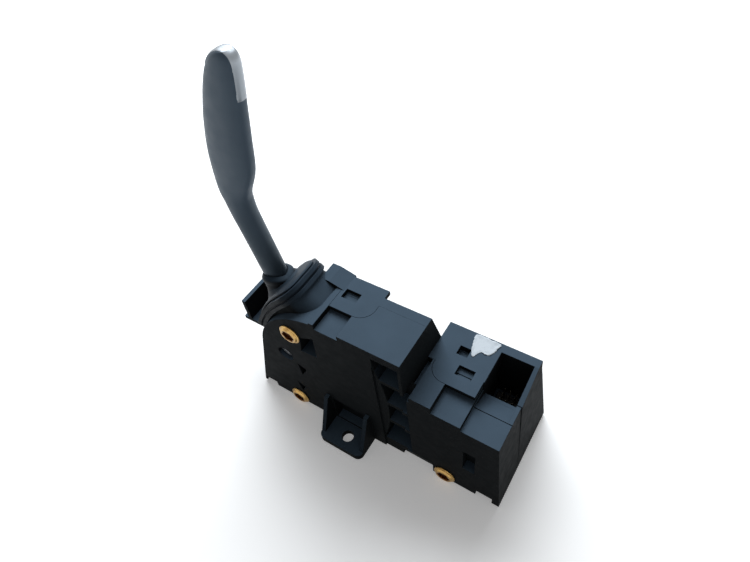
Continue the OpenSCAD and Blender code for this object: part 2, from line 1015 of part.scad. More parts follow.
module pivot_shaft() {
    color("#b9bcc0")
    difference() {
        rod(pivot_x, pivot_z, shaft_front, shaft_back, shaft_d / 2);
        difference() {
            rod(pivot_x, pivot_z, clip_y, clip_y + clip_t, shaft_d);
            rod(pivot_x, pivot_z, clip_y - over, clip_y + clip_t + over, clip_groove_d / 2);
        }
    }
}

module bush(y0, y1, flange_y) {
    difference() {
        union() {
            rod(pivot_x, pivot_z, y0, y1, shaft_d / 2 + bush_wall);
            rod(pivot_x, pivot_z, flange_y, flange_y + bush_flange_t - fit, shaft_d / 2 + bush_wall + bush_flange_w);
        }
        rod(pivot_x, pivot_z, y0 - over, y1 + over, shaft_d / 2 + running);
    }
}

module front_bush() {
    color("#c9a45a")
        bush(bush_front, hub_front - gap, hub_front - bush_flange_t - gap + fit);
}

module rear_bush() {
    color("#c9a45a")
        bush(hub_back + clip_room, bush_back, hub_back + clip_room);
}

module shaft_clip() {
    color("#9a9da1")
    difference() {
        rod(pivot_x, pivot_z, clip_y + fit / 2, clip_y + clip_t - fit / 2, shaft_d / 2 + clip_w);
        rod(pivot_x, pivot_z, clip_y - over, clip_y + clip_t + over, clip_groove_d / 2 + running);
        block(
            [pivot_x - clip_groove_d / 2 - running, clip_y - over, pivot_z - shaft_d],
            [pivot_x + clip_groove_d / 2 + running, clip_y + clip_t + over, pivot_z]
        );
    }
}

module lever_pin() {
    color("#a7aaae")
    on_lever()
        translate([0, -hub_w / 2 + fit, pin_t])
            rotate([-90, 0, 0])
                cylinder(d = pin_d, h = hub_w - 2 * fit);
}

// Detent: a sprung plunger in the carrier and a notched track on the rear shell
plunger_l = 11;
plunger_tip = track_r - gap;
track_dip = 0.9;

module detent_plunger() {
    color("#c8cbce")
    translate([pivot_x, lever_y, pivot_z])
        rotate([0, 90, 0]) {
            translate([0, 0, plunger_tip - plunger_l])
                cylinder(d = plunger_d, h = plunger_l - plunger_d / 2);
            translate([0, 0, plunger_tip - plunger_d / 2])
                sphere(d = plunger_d);
        }
}

wire_d = 0.7;
coil_pitch = 0.9 * wire_d;

module detent_spring() {
    free = plunger_tip - plunger_l - barrel_start - 2 * gap;
    coils = floor((free - wire_d) / coil_pitch);
    color("#a2a6aa")
    translate([pivot_x + barrel_start + gap, lever_y, pivot_z])
        rotate([0, 90, 0])
            rotate_extrude()
                for (i = [0:coils])
                    translate([plunger_d / 2 - wire_d, wire_d / 2 + i * (free - wire_d) / coils])
                        circle(d = wire_d, $fn = 16);
}

module detent_track() {
    x0 = pivot_x + track_r;
    color("#d5d8d9")
    difference() {
        block(
            [x0 - track_t / 2, track_y0, pivot_z - track_h / 2],
            [x0 + track_t, track_y1, pivot_z + track_h / 2]
        );
        rod(pivot_x, pivot_z, track_y0 - over, track_y1 + over, track_r);
        for (side = [-1, 0, 1]) {
            notch_r = plunger_d / 2 + gap;
            reach = track_r - notch_r + (side == 0 ? track_dip : track_dip / 2);
            rod(
                pivot_x + reach * cos(side * tilt), pivot_z + reach * sin(side * tilt),
                track_y0 - over, track_y1 + over, notch_r
            );
        }
    }
}

module stop_pads() {
    color("#1a1b1c")
    for (side = [-1, 1]) {
        near = pivot_x + side * stop_x;
        far = near + side * pad_t;
        block(
            [min(near, far), hub_front, pad_z - pad_h / 2],
            [max(near, far), hub_back - fit, pad_z + pad_h / 2]
        );
    }
}

// Circuit board with its chips, sensors and screws
board_x0 = -47;
board_x1 = 65.5;
board_back = face_y + 38;
board_top = board_z + board_t;
pin_rows = [-1, 0, 1];
pin_hole_d = 1.5 * pin_w;
pin_rise = 8.5;
pin_count = 4;
pin_y = socket_back - (socket_l - (pin_count - 1) * pin_pitch) / 2;

module circuit_board() {
    color("#2f6b3c")
    difference() {
        block([board_x0, board_front, board_z], [board_x1, board_back, board_top]);
        for (post = board_posts)
            translate([post.x, post.y, board_z - over])
                cylinder(d = board_screw_d + 2 * fit, h = board_t + 2 * over);
        for (row = pin_rows, i = [0:pin_count - 1])
            translate([socket_x + row * pin_pitch, pin_y - i * pin_pitch, board_z - over])
                cylinder(d = pin_hole_d + 2 * fit, h = board_t + 2 * over, $fn = 24);
    }
}

// Chips: middle, length, width and height of each
chip_spots = [[4, 27], [24, 24], [24, 37], [-8, 36], [40, 26]];
chip_sizes = [[9, 9, 1.6], [7, 5, 1.4], [10, 6, 2.6], [5, 4, 1.2], [6, 6, 4.5]];

module board_chips() {
    color("#1c1d1f")
    for (i = [0:len(chip_spots) - 1])
        translate([chip_spots[i].x, chip_spots[i].y, board_top])
            linear_extrude(height = chip_sizes[i].z)
                square([chip_sizes[i].x, chip_sizes[i].y], center = true);
}

sensor_pitch = 6;
sensor_size = [4, 3, 1.4];

module hall_sensors() {
    color("#303236")
    for (i = [-1, 0, 1])
        translate([pivot_x + i * sensor_pitch, lever_y, board_top])
            linear_extrude(height = sensor_size.z)
                square([sensor_size.x, sensor_size.y], center = true);
}

module board_screws() {
    color("#b7babd")
    for (post = board_posts)
        translate([post.x, post.y, 0]) {
            translate([0, 0, board_top - board_screw_l + gap])
                cylinder(d = board_screw_d, h = board_screw_l);
            translate([0, 0, board_top])
                cylinder(d = 2 * board_screw_d, h = board_screw_d / 2);
        }
}

// Connector header under the socket's floor, and its contacts
header_in = 1;
header_foot = 1.5;
header_y0 = pin_y - (pin_count - 1) * pin_pitch - 2;
header_y1 = pin_y + 2;

module header_window(shrink) {
    block(
        [socket_left + header_in + shrink, header_y0 + shrink, socket_floor - wall - over],
        [socket_left + socket_w - header_in - shrink, header_y1 - shrink, socket_floor + (shrink > 0 ? 0 : over)]
    );
}

module connector_header() {
    color("#3a3d40")
    difference() {
        union() {
            block(
                [socket_left - header_in, header_y0 - header_foot, board_top],
                [deck_right - wall - gap, header_y1 + header_foot, socket_floor - wall - fit]
            );
            header_window(fit);
        }
        for (row = pin_rows, i = [0:pin_count - 1])
            translate([socket_x + row * pin_pitch, pin_y - i * pin_pitch, board_top - over])
                cylinder(d = pin_hole_d + fit, h = deck_h, $fn = 24);
    }
}

module connector_pins() {
    color("#cbb070")
    for (row = pin_rows, i = [0:pin_count - 1])
        translate([socket_x + row * pin_pitch - pin_w / 2, pin_y - i * pin_pitch - pin_w / 2, board_z - pin_w])
            cube([pin_w, pin_w, socket_floor + pin_rise - board_z]);
}

// Thread-forming screws with a star recess in a flanged pan head, in shares of the head's diameter
pan_shares = [0.36, 0.43];
star_shares = [0.54, 0.2];
flange_t = head_t / 3;
recess_t = 1.6;

module housing_screw() {
    rotate([-90, 0, 0])
        difference() {
            rotate_extrude()
                polygon([
                    [0, -head_t], [pan_shares.x * head_d, -head_t], [pan_shares.y * head_d, -flange_t],
                    [head_d / 2, -flange_t], [head_d / 2, 0], [shank_d / 2, 0], [shank_d / 2, screw_l],
                    [0, screw_l]
                ]);
            translate([0, 0, -head_t - over])
                linear_extrude(height = recess_t + over)
                    for (i = [0:2])
                        rotate(60 * i)
                            square(head_d * star_shares, center = true);
        }
}

module housing_screws() {
    color("#b98f3a")
    for (spot = screw_spots)
        translate([spot.x, face_y, spot.y])
            housing_screw();
}

// Blank remnant of a paper label on the low block's roof
label_corner = [41.8, 43.8];
label_points = [[0, 0], [10.6, 0], [9.2, -6.6], [6.8, -7.2], [4.4, -7.4], [3.4, -10.4], [1.8, -8.8], [0.8, -5.4]];

module label_remnant() {
    color("#eeeeec")
    translate([label_corner.x, label_corner.y, deck_h])
        linear_extrude(height = fit)
            polygon(label_points);
}

front_housing();
rear_housing();
boot_frame();
boot();
collar_ring();
lever_core();
lever_grip();
lever_trim();
selector_carrier();
pivot_shaft();
front_bush();
rear_bush();
shaft_clip();
lever_pin();
detent_plunger();
detent_spring();
detent_track();
stop_pads();
position_magnet();
circuit_board();
board_chips();
hall_sensors();
board_screws();
connector_header();
connector_pins();
housing_screws();
label_remnant();
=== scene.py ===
import math

import bmesh
import bpy
import numpy as np
from bpy.props import FloatProperty, FloatVectorProperty, IntProperty, PointerProperty
from mathutils import Matrix, Vector


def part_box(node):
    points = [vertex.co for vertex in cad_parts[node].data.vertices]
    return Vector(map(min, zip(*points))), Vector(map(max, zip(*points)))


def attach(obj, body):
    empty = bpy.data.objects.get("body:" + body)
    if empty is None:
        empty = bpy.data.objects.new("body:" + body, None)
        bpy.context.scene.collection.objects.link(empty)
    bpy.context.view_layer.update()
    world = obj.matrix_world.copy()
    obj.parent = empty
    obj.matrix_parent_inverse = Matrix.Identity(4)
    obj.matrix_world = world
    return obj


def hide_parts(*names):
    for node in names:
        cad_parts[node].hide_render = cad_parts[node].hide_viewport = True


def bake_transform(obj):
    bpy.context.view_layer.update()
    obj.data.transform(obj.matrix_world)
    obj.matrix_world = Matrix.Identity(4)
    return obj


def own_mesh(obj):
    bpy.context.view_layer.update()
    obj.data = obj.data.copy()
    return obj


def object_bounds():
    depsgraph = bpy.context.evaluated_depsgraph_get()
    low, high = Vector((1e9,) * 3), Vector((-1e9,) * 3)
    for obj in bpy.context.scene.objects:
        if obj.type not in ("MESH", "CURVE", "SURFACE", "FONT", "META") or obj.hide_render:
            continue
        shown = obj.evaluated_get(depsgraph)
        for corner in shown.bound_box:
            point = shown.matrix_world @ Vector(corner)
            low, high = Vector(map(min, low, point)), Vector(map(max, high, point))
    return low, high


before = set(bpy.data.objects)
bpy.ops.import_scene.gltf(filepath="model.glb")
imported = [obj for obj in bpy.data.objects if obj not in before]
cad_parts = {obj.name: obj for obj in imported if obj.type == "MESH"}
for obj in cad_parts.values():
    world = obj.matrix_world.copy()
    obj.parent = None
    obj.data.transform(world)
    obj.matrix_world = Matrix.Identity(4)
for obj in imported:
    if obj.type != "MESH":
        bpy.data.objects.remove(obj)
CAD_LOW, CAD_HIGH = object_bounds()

bl_info = {
    "name": "Gear Selector Stalk",
    "version": (1, 0, 0),
    "blender": (4, 5, 0),
    "location": "View3D > Sidebar > Gear Stalk",
    "description": "Looks of a gear selector stalk around its packed solids",
    "category": "Object",
}

# Metres in a millimetre: every size below is written in millimetres
MM = 0.001

# Places in the row frame, in millimetres: the lever's plane, its pivot and its lean
LEVER_Y = 20.4
PIVOT = (-30.7, 42.0)
LEVER_LEAN = math.radians(10.4)

# The slope that carries the boot: its middle and its angle from level
SLOPE_MIDDLE = (-31.446, 64.397)
SLOPE_TILT = math.radians(54.8)

# Photograph's camera: place in millimetres, its three axes in the row frame, and its lens
CAMERA_PLACE = (93.629, -77.869, 247.685)
CAMERA_RIGHT = (0.84048, 0.53231, -0.10113)
CAMERA_DOWN = (0.35241, -0.67881, -0.64422)
CAMERA_FORWARD = (-0.41158, 0.50582, -0.75812)
CAMERA_LENS = 27.356
CAMERA_SENSOR = 36.0

# Heights between which the handle's lacquer goes from its own colour to a paler one
GRIP_PALING = (92.0, 122.0)

DECK_TOP = 58.3
FRONT_FACE = 6.0
SCREW_PLACES = ((-22.7, 62.5), (-31.4, 5.0), (47.1, 5.0))
CONTACT_MIDDLE = (60.6, 34.1)
CONTACT_FOOT = 11.36
PAPER_LIFT = 0.15
# Name of the mark that the screws' mesh carries where painted shade darkens the star recess and its rim to brown
RECESS_SHADE_MARK = "recess"


# ---------------------------------------------------------------- sizes and colours


def srgb_to_linear(hex_code):
    """The linear colour of an sRGB hex value, with full alpha."""
    parts = [int(hex_code[i : i + 2], 16) / 255 for i in (1, 3, 5)]
    bent = [p / 12.92 if p <= 0.04045 else ((p + 0.055) / 1.055) ** 2.4 for p in parts]
    return (*bent, 1.0)


def length_property(name, description, millimetres):
    return FloatProperty(name=name, description=description, default=millimetres * MM, unit="LENGTH", precision=5)


def colour_property(name, description, hex_code):
    return FloatVectorProperty(
        name=name, description=description, default=srgb_to_linear(hex_code), size=4, subtype="COLOR", min=0, max=1
    )


class StalkLeverSizes(bpy.types.PropertyGroup):
    """Sizes of the lever's handle"""

    stem_diameter: length_property("Stem diameter", "Diameter of the round stem", 9.4)
    trim_width: length_property("Trim width", "Width of the bright strip on the narrow edge", 3.9)
    trim_rise: length_property("Trim rise", "How far the strip stands proud of the handle", 0.14)


class StalkBootSizes(bpy.types.PropertyGroup):
    """Sizes of the rubber boot"""

    collar_diameter: length_property("Collar diameter", "Outside of the collar round the stem", 14.4)
    rubber: length_property("Rubber", "Thickness of the moulded rubber", 1.1)


class StalkScrewSizes(bpy.types.PropertyGroup):
    """Sizes of the housing screws"""

    head_diameter: length_property("Head diameter", "Diameter of the flanged head", 9.9)
    recess_turn: FloatProperty(
        name="Recess turn", description="Turn of the star recess from screw to screw", default=0.5, subtype="ANGLE"
    )


class StalkSpringSizes(bpy.types.PropertyGroup):
    """Sizes of the detent spring"""

    coils: IntProperty(name="Coils", description="Turns of the spring", default=6, min=3)
    wire: length_property("Wire", "Diameter of the spring wire", 0.5)


class StalkContactSizes(bpy.types.PropertyGroup):
    """Sizes of the connector's contacts"""

    rows: IntProperty(name="Rows", description="Rows of contacts across the socket", default=3, min=2)
    per_row: IntProperty(name="Contacts per row", description="Contacts in each row", default=4, min=2)
    pitch: length_property("Pitch", "Distance from contact to contact", 2.54)
    width: length_property("Width", "Width of a square contact", 0.64)
    length: length_property("Length", "Length of a contact with its tip", 27.3)


class StalkLabelSizes(bpy.types.PropertyGroup):
    """Sizes of the torn label"""

    paper: length_property("Paper", "Thickness of the label stock", 0.09)
    curl: length_property("Curl", "How far the torn edges lift", 0.35)


class StalkColours(bpy.types.PropertyGroup):
    """Colours that a user would change"""

    shell: colour_property("Shell", "Glass-filled moulding of the housing", "#0f1112")
    handle: colour_property("Handle", "Soft-touch lacquer of the handle", "#2b343c")
    rubber: colour_property("Rubber", "Moulded boot rubber", "#121416")
    trim: colour_property("Trim", "Satin silver strip", "#8d9399")
    screw: colour_property("Screw", "Yellow zinc of the screws", "#c3a063")
    label: colour_property("Label", "Bare label stock", "#cdd5dc")


# ---------------------------------------------------------------- meshes


def lever_point(across, along, y=0.0):
    """A point from the pivot: across and along the stem, and y from the lever's plane."""
    c, s = math.cos(LEVER_LEAN), math.sin(LEVER_LEAN)
    return (PIVOT[0] + across * c - along * s, LEVER_Y + y, PIVOT[1] + across * s + along * c)


def slope_point(up, y, out):
    """A point on the boot's slope: up the slope, across it and out of it."""
    c, s = math.cos(SLOPE_TILT), math.sin(SLOPE_TILT)
    return (SLOPE_MIDDLE[0] + up * c - out * s, LEVER_Y + y, SLOPE_MIDDLE[1] + up * s + out * c)


def slope_place(x, z):
    """How far up the slope and out of it a point lies."""
    c, s = math.cos(SLOPE_TILT), math.sin(SLOPE_TILT)
    dx, dz = x - SLOPE_MIDDLE[0], z - SLOPE_MIDDLE[1]
    return dx * c + dz * s, -dx * s + dz * c


def smooth_rows(rows, steps):
    """Rows of numbers with more rows between them, on one smooth curve through them all."""
    rows = np.array(rows, float)
    last = len(rows) - 1
    out = []
    for i in range(last):
        before, here, there, after = rows[max(i - 1, 0)], rows[i], rows[i + 1], rows[min(i + 2, last)]
        for k in range(steps):
            t = k / steps
            out.append(
                0.5
                * (
                    2 * here
                    + (there - before) * t
                    + (2 * before - 5 * here + 4 * there - after) * t * t
                    + (3 * here - before - 3 * there + after) * t**3
                )
            )
    out.append(rows[-1])
    return np.array(out)


def super_circle(count, power):
    """Unit points round a circle of the given power: 2 is round, more is squarer."""
    turn = np.linspace(0, 2 * math.pi, count, endpoint=False)
    c, s = np.cos(turn), np.sin(turn)
    return np.sign(c) * np.abs(c) ** (2 / power), np.sign(s) * np.abs(s) ** (2 / power)


def loft(name, rings, close_first=True, close_last=True):
    """A mesh object through rings of points given in millimetres, with its ends closed."""
    count = len(rings[0])
    points = [Vector(p) * MM for ring in rings for p in ring]
    faces = []
    for row in range(len(rings) - 1):
        for k in range(count):
            after = (k + 1) % count
            faces.append((row * count + k, row * count + after, (row + 1) * count + after, (row + 1) * count + k))
    if close_first:
        faces.append(tuple(reversed(range(count))))
    if close_last:
        top = (len(rings) - 1) * count
        faces.append(tuple(range(top, top + count)))
    return mesh_object(name, points, faces)


def mesh_object(name, points, faces, smooth=True):
    """A linked mesh object at the origin with its faces turned outwards."""
    mesh = bpy.data.meshes.new(name)
    mesh.from_pydata([tuple(p) for p in points], [], faces)
    mesh.validate()
    piece = bpy.data.objects.new(name, mesh)
    bpy.context.scene.collection.objects.link(piece)
    turn_outwards(mesh)
    mesh.polygons.foreach_set("use_smooth", [smooth] * len(mesh.polygons))
    return piece


def turn_outwards(mesh):
    """Turns every face of a closed mesh outwards."""
    work = bmesh.new()
    work.from_mesh(mesh)
    bmesh.ops.recalc_face_normals(work, faces=work.faces)
    work.to_mesh(mesh)
    work.free()


def smooth_by_angle(piece, degrees):
    """Round shading, with edges sharper than an angle kept crisp."""
    piece.data.polygons.foreach_set("use_smooth", [True] * len(piece.data.polygons))
    piece.data.set_sharp_from_angle(angle=math.radians(degrees))


def dress(piece, finish):
    """Gives a piece its finish."""
    piece.data.materials.clear()
    piece.data.materials.append(finish)


def nodes_to_mesh(piece):
    """Turns a piece made by Geometry Nodes into a plain mesh and takes the modifier off."""
    depsgraph = bpy.context.evaluated_depsgraph_get()
    made = bpy.data.meshes.new_from_object(piece.evaluated_get(depsgraph))
    piece.modifiers.clear()
    piece.data = made
    return piece


# ---------------------------------------------------------------- finishes


def add_node(tree, kind, inputs=None, **settings):
    """A node with its settings, and each input set to a value or linked to a socket."""
    node = tree.nodes.new(kind)
    for name, value in settings.items():
        setattr(node, name, value)
    for key, value in (inputs or {}).items():
        if isinstance(value, bpy.types.NodeSocket):
            tree.links.new(value, node.inputs[key])
        else:
            node.inputs[key].default_value = value
    return node


def start_finish(name):
    """An empty material, its tree, its shader and the piece's own Object coordinates."""
    material = bpy.data.materials.new(name)
    material.use_nodes = True
    tree = material.node_tree
    tree.nodes.clear()
    shader = add_node(tree, "ShaderNodeBsdfPrincipled")
    add_node(tree, "ShaderNodeOutputMaterial", {"Surface": shader.outputs["BSDF"]})
    place = add_node(tree, "ShaderNodeTexCoord").outputs["Object"]
    return material, tree, shader, place


def noise(tree, place, millimetres, detail=3.0, stretch=None):
    """A noise whose features are about that many millimetres across, stretched along an axis if asked."""
    if stretch:
        place = add_node(tree, "ShaderNodeMapping", {"Vector": place, "Scale": stretch}).outputs["Vector"]
    return add_node(
        tree, "ShaderNodeTexNoise", {"Vector": place, "Scale": 1 / (millimetres * MM), "Detail": detail}
    ).outputs["Fac"]


def between(tree, value, low, high, out_low=0.0, out_high=1.0):
    """A value taken from one range to another, and held at its ends."""
    return add_node(
        tree,
        "ShaderNodeMapRange",
        {"Value": value, "From Min": low, "From Max": high, "To Min": out_low, "To Max": out_high},
    ).outputs["Result"]


def blend_colours(tree, share, first, second):
    """The colour between two, by a share: 0 is the first."""
    node = tree.nodes.new("ShaderNodeMix")
    node.data_type = "RGBA"
    for socket, value in ((node.inputs[0], share), (node.inputs[6], first), (node.inputs[7], second)):
        if isinstance(value, bpy.types.NodeSocket):
            tree.links.new(value, socket)
        else:
            socket.default_value = value
    return node.outputs[2]


def times(tree, first, second):
    return add_node(tree, "ShaderNodeMath", {0: first, 1: second}, operation="MULTIPLY").outputs[0]


def scaled(colour, factor):
    """A colour made darker or paler by a factor."""
    return (*[min(1.0, c * factor) for c in colour[:3]], 1.0)


def painted_top_sheen(tree, place, base, top_sheen, share):
    """Painted highlight: the faces that look up are painted paler towards a given colour, a little patchy, in place of
    the sheen that light lays on them.
    """
    normal = add_node(tree, "ShaderNodeNewGeometry").outputs["Normal"]
    upward = add_node(tree, "ShaderNodeSeparateXYZ", {"Vector": normal}).outputs["Z"]
    patchy = between(tree, noise(tree, place, 11.0, 4.0), 0.3, 0.7, share * 0.9, share)
    return blend_colours(tree, times(tree, between(tree, upward, 0.15, 0.95), patchy), base, srgb_to_linear(top_sheen))


def moulded_finish(
    name, colour, rough, grain, grain_depth, mottle, edge_round=0.25, edge_pale=1.9, dust=0.0, top_sheen=None, top_sheen_share=1.0
):
    """Finish of a moulded plastic or rubber: fine grain, slow mottling, rounded edges painted paler in patches as
    rubbing wear and as a painted highlight, dust, and a painted highlight on the faces that look up when a colour for
    it is given.
    """
    material, tree, shader, place = start_finish(name)
    slow = between(tree, noise(tree, place, mottle), 0.3, 0.7)
    base = blend_colours(tree, slow, scaled(colour, 0.92), scaled(colour, 1.1))
    # Painted highlight: faces that look up are painted paler and bluer, in place of the sheen of the light above
    if top_sheen:
        base = painted_top_sheen(tree, place, base, top_sheen, top_sheen_share)
    rounded = add_node(tree, "ShaderNodeBevel", {"Radius": edge_round * MM}, samples=6).outputs["Normal"]
    flat = add_node(tree, "ShaderNodeNewGeometry").outputs["Normal"]
    turned = add_node(tree, "ShaderNodeVectorMath", {0: rounded, 1: flat}, operation="DOT_PRODUCT").outputs["Value"]
    # Rounded edges are painted paler in patches: partly rubbing wear, partly a painted edge highlight
    edge = between(tree, turned, 0.97, 0.8)
    worn_and_highlit = times(tree, edge, between(tree, noise(tree, place, 5.0), 0.35, 0.75))
    base = blend_colours(tree, worn_and_highlit, base, scaled(colour, edge_pale))
    if dust:
        specks = between(tree, noise(tree, place, 0.7, 2.0), 0.66, 0.74)
        patches = between(tree, noise(tree, place, 14.0), 0.45, 0.7)
        base = blend_colours(tree, times(tree, times(tree, specks, patches), dust), base, srgb_to_linear("#8b9196"))
    tree.links.new(base, shader.inputs["Base Color"])
    tree.links.new(
        between(tree, noise(tree, place, 3.5, 4.0), 0.3, 0.7, rough - 0.05, rough + 0.06), shader.inputs["Roughness"]
    )
    height = noise(tree, place, grain, 2.0)
    bump = add_node(
        tree, "ShaderNodeBump", {"Height": height, "Distance": grain_depth * MM, "Strength": 1.0, "Normal": rounded}
    )
    tree.links.new(bump.outputs["Normal"], shader.inputs["Normal"])
    return material, tree, shader, place


def metal_finish(name, colour, rough, brush=None, tarnish="#3a3026", tarnish_share=0.35):
    """Finish of a metal: brushed or blasted grain, and a slow tarnish in patches."""
    material, tree, shader, place = start_finish(name)
    shader.inputs["Metallic"].default_value = 1.0
    patches = between(tree, noise(tree, place, 2.2, 4.0), 0.45, 0.75, 0.0, tarnish_share)
    tree.links.new(blend_colours(tree, patches, colour, srgb_to_linear(tarnish)), shader.inputs["Base Color"])
    grain = noise(tree, place, 0.35, 2.0, brush)
    tree.links.new(between(tree, grain, 0.3, 0.7, rough - 0.07, rough + 0.09), shader.inputs["Roughness"])
    rounded = add_node(tree, "ShaderNodeBevel", {"Radius": 0.12 * MM}, samples=4).outputs["Normal"]
    bump = add_node(tree, "ShaderNodeBump", {"Height": grain, "Distance": 0.004 * MM, "Normal": rounded})
    tree.links.new(bump.outputs["Normal"], shader.inputs["Normal"])
    return material


def glass_filled_nylon(colour):
    """Glass-filled nylon from a spark-eroded tool: satin black with a cold sheen where light grazes it, and a painted
    blue-grey highlight on the faces that look up.
    """
    material, tree, shader, place = moulded_finish(
        "glass_filled_nylon", colour, 0.64, 0.45, 0.005, 18.0, edge_pale=2.6, dust=0.1, top_sheen="#475664"
    )
    shader.inputs["Specular IOR Level"].default_value = 0.03
    shader.inputs["Specular Tint"].default_value = srgb_to_linear("#c3dbf0")
    return material


def boot_frame_nylon():
    """Black nylon frame, a little smoother than the shells, with a painted grey-blue highlight on the faces that look
    up.
    """
    material, tree, shader, place = moulded_finish(
        "boot_frame_nylon", srgb_to_linear("#111315"), 0.54, 0.5, 0.008, 12.0, top_sheen="#2a3540"
    )
    shader.inputs["Specular IOR Level"].default_value = 0.08
    shader.inputs["Specular Tint"].default_value = srgb_to_linear("#c3dbf0")
    return material


def moulded_rubber(colour):
    """Moulded rubber: matt, with a painted grey-blue highlight on the faces that look up."""
    material, tree, shader, place = moulded_finish(
        "moulded_rubber", colour, 0.58, 0.6, 0.015, 6.0, edge_round=0.3, edge_pale=1.5, dust=0.15, top_sheen="#2a3641"
    )
    shader.inputs["Specular IOR Level"].default_value = 0.1
    shader.inputs["Specular Tint"].default_value = srgb_to_linear("#c3dbf0")
    shader.inputs["Sheen Weight"].default_value = 0.04
    shader.inputs["Sheen Roughness"].default_value = 0.5
    return material


def soft_touch_lacquer(colour):
    """Soft-touch lacquer over the moulded handle: silky, and paler towards its top."""
    material, tree, shader, place = moulded_finish(
        "soft_touch_lacquer", colour, 0.5, 0.35, 0.006, 16.0, edge_round=0.3, edge_pale=1.2
    )
    # The colour grows paler than the stem's towards the top of the grip
    height = add_node(tree, "ShaderNodeSeparateXYZ", {"Vector": place}).outputs["Z"]
    paler_upwards = between(tree, height, GRIP_PALING[0] * MM, GRIP_PALING[1] * MM)
    lower_colour = shader.inputs["Base Color"].links[0].from_socket
    tree.links.new(
        blend_colours(tree, times(tree, paler_upwards, 0.9), lower_colour, srgb_to_linear("#434f5b")), shader.inputs["Base Color"]
    )
    shader.inputs["Specular IOR Level"].default_value = 0.35
    shader.inputs["Specular Tint"].default_value = srgb_to_linear("#c3dbf0")
    shader.inputs["Sheen Weight"].default_value = 0.05
    shader.inputs["Sheen Roughness"].default_value = 0.45
    shader.inputs["Sheen Tint"].default_value = srgb_to_linear("#b8d2e8")
    return material


def satin_silver(colour):
    """Satin silver lacquer over plastic: bright and fine-grained, with small rubs."""
    material, tree, shader, place = start_finish("satin_silver_lacquer")
    shader.inputs["Metallic"].default_value = 0.75
    rubs = between(tree, noise(tree, place, 1.6, 4.0), 0.5, 0.75, 0.0, 0.45)
    tree.links.new(blend_colours(tree, rubs, colour, srgb_to_linear("#8f969c")), shader.inputs["Base Color"])
    flake = noise(tree, place, 0.3, 2.0)
    tree.links.new(between(tree, flake, 0.3, 0.7, 0.3, 0.44), shader.inputs["Roughness"])
    bump = add_node(tree, "ShaderNodeBump", {"Height": flake, "Distance": 0.004 * MM})
    tree.links.new(bump.outputs["Normal"], shader.inputs["Normal"])
    return material


def yellow_zinc(colour):
    """Yellow zinc plating on the screws: pale gold on the flange, and painted shade that makes the star recess dark
    brown.
    """
    material = metal_finish("yellow_zinc_plating", colour, 0.38, None, "#7a4d1c", 0.7)
    tree = material.node_tree
    shader = next(node for node in tree.nodes if node.type == "BSDF_PRINCIPLED")
    plating = shader.inputs["Base Color"].links[0].from_socket
    # Painted shade: the star recess is painted dark brown
    deep = add_node(tree, "ShaderNodeAttribute", attribute_name=RECESS_SHADE_MARK).outputs["Fac"]
    tree.links.new(blend_colours(tree, deep, plating, srgb_to_linear("#4a260c")), shader.inputs["Base Color"])
    return material


def acetal():
    """Natural acetal: milky white moulding with a waxy surface."""
    material, tree, shader, place = moulded_finish(
        "natural_acetal", srgb_to_linear("#d3cfc2"), 0.4, 0.5, 0.005, 9.0, edge_pale=1.05
    )
    shader.inputs["Subsurface Weight"].default_value = 0.08
    shader.inputs["Subsurface Radius"].default_value = (0.002, 0.002, 0.0015)
    return material


def board_laminate():
    """Circuit board: glossy green mask over copper tracks on glass laminate."""
    material, tree, shader, place = start_finish("board_laminate")
    tracks = add_node(
        tree,
        "ShaderNodeTexBrick",
        {
            "Vector": place,
            "Scale": 1 / (3.2 * MM),
            "Mortar Size": 0.06,
            "Color1": srgb_to_linear("#1d5a34"),
            "Color2": srgb_to_linear("#1a5230"),
            "Mortar": srgb_to_linear("#2f7a49"),
        },
    )
    tree.links.new(tracks.outputs["Color"], shader.inputs["Base Color"])
    tree.links.new(between(tree, noise(tree, place, 1.5), 0.3, 0.7, 0.24, 0.36), shader.inputs["Roughness"])
    bump = add_node(tree, "ShaderNodeBump", {"Height": tracks.outputs["Fac"], "Distance": 0.03 * MM})
    tree.links.new(bump.outputs["Normal"], shader.inputs["Normal"])
    return material


def label_paper(colour):
    """Bare label stock that was torn off: white, fibrous, greyed where its top layer is gone."""
    material, tree, shader, place = start_finish("torn_label_paper")
    fibres = noise(tree, place, 0.6, 6.0, (1.0, 2.5, 1.0))
    torn = between(tree, noise(tree, place, 2.6, 3.0), 0.48, 0.68)
    base = blend_colours(tree, times(tree, torn, 0.55), colour, srgb_to_linear("#a9b3bc"))
    tree.links.new(
        blend_colours(tree, between(tree, fibres, 0.5, 0.8, 0.0, 0.5), base, srgb_to_linear("#c2cad1")),
        shader.inputs["Base Color"],
    )
    shader.inputs["Roughness"].default_value = 0.85
    bump = add_node(tree, "ShaderNodeBump", {"Height": fibres, "Distance": 0.05 * MM})
    tree.links.new(bump.outputs["Normal"], shader.inputs["Normal"])
    return material


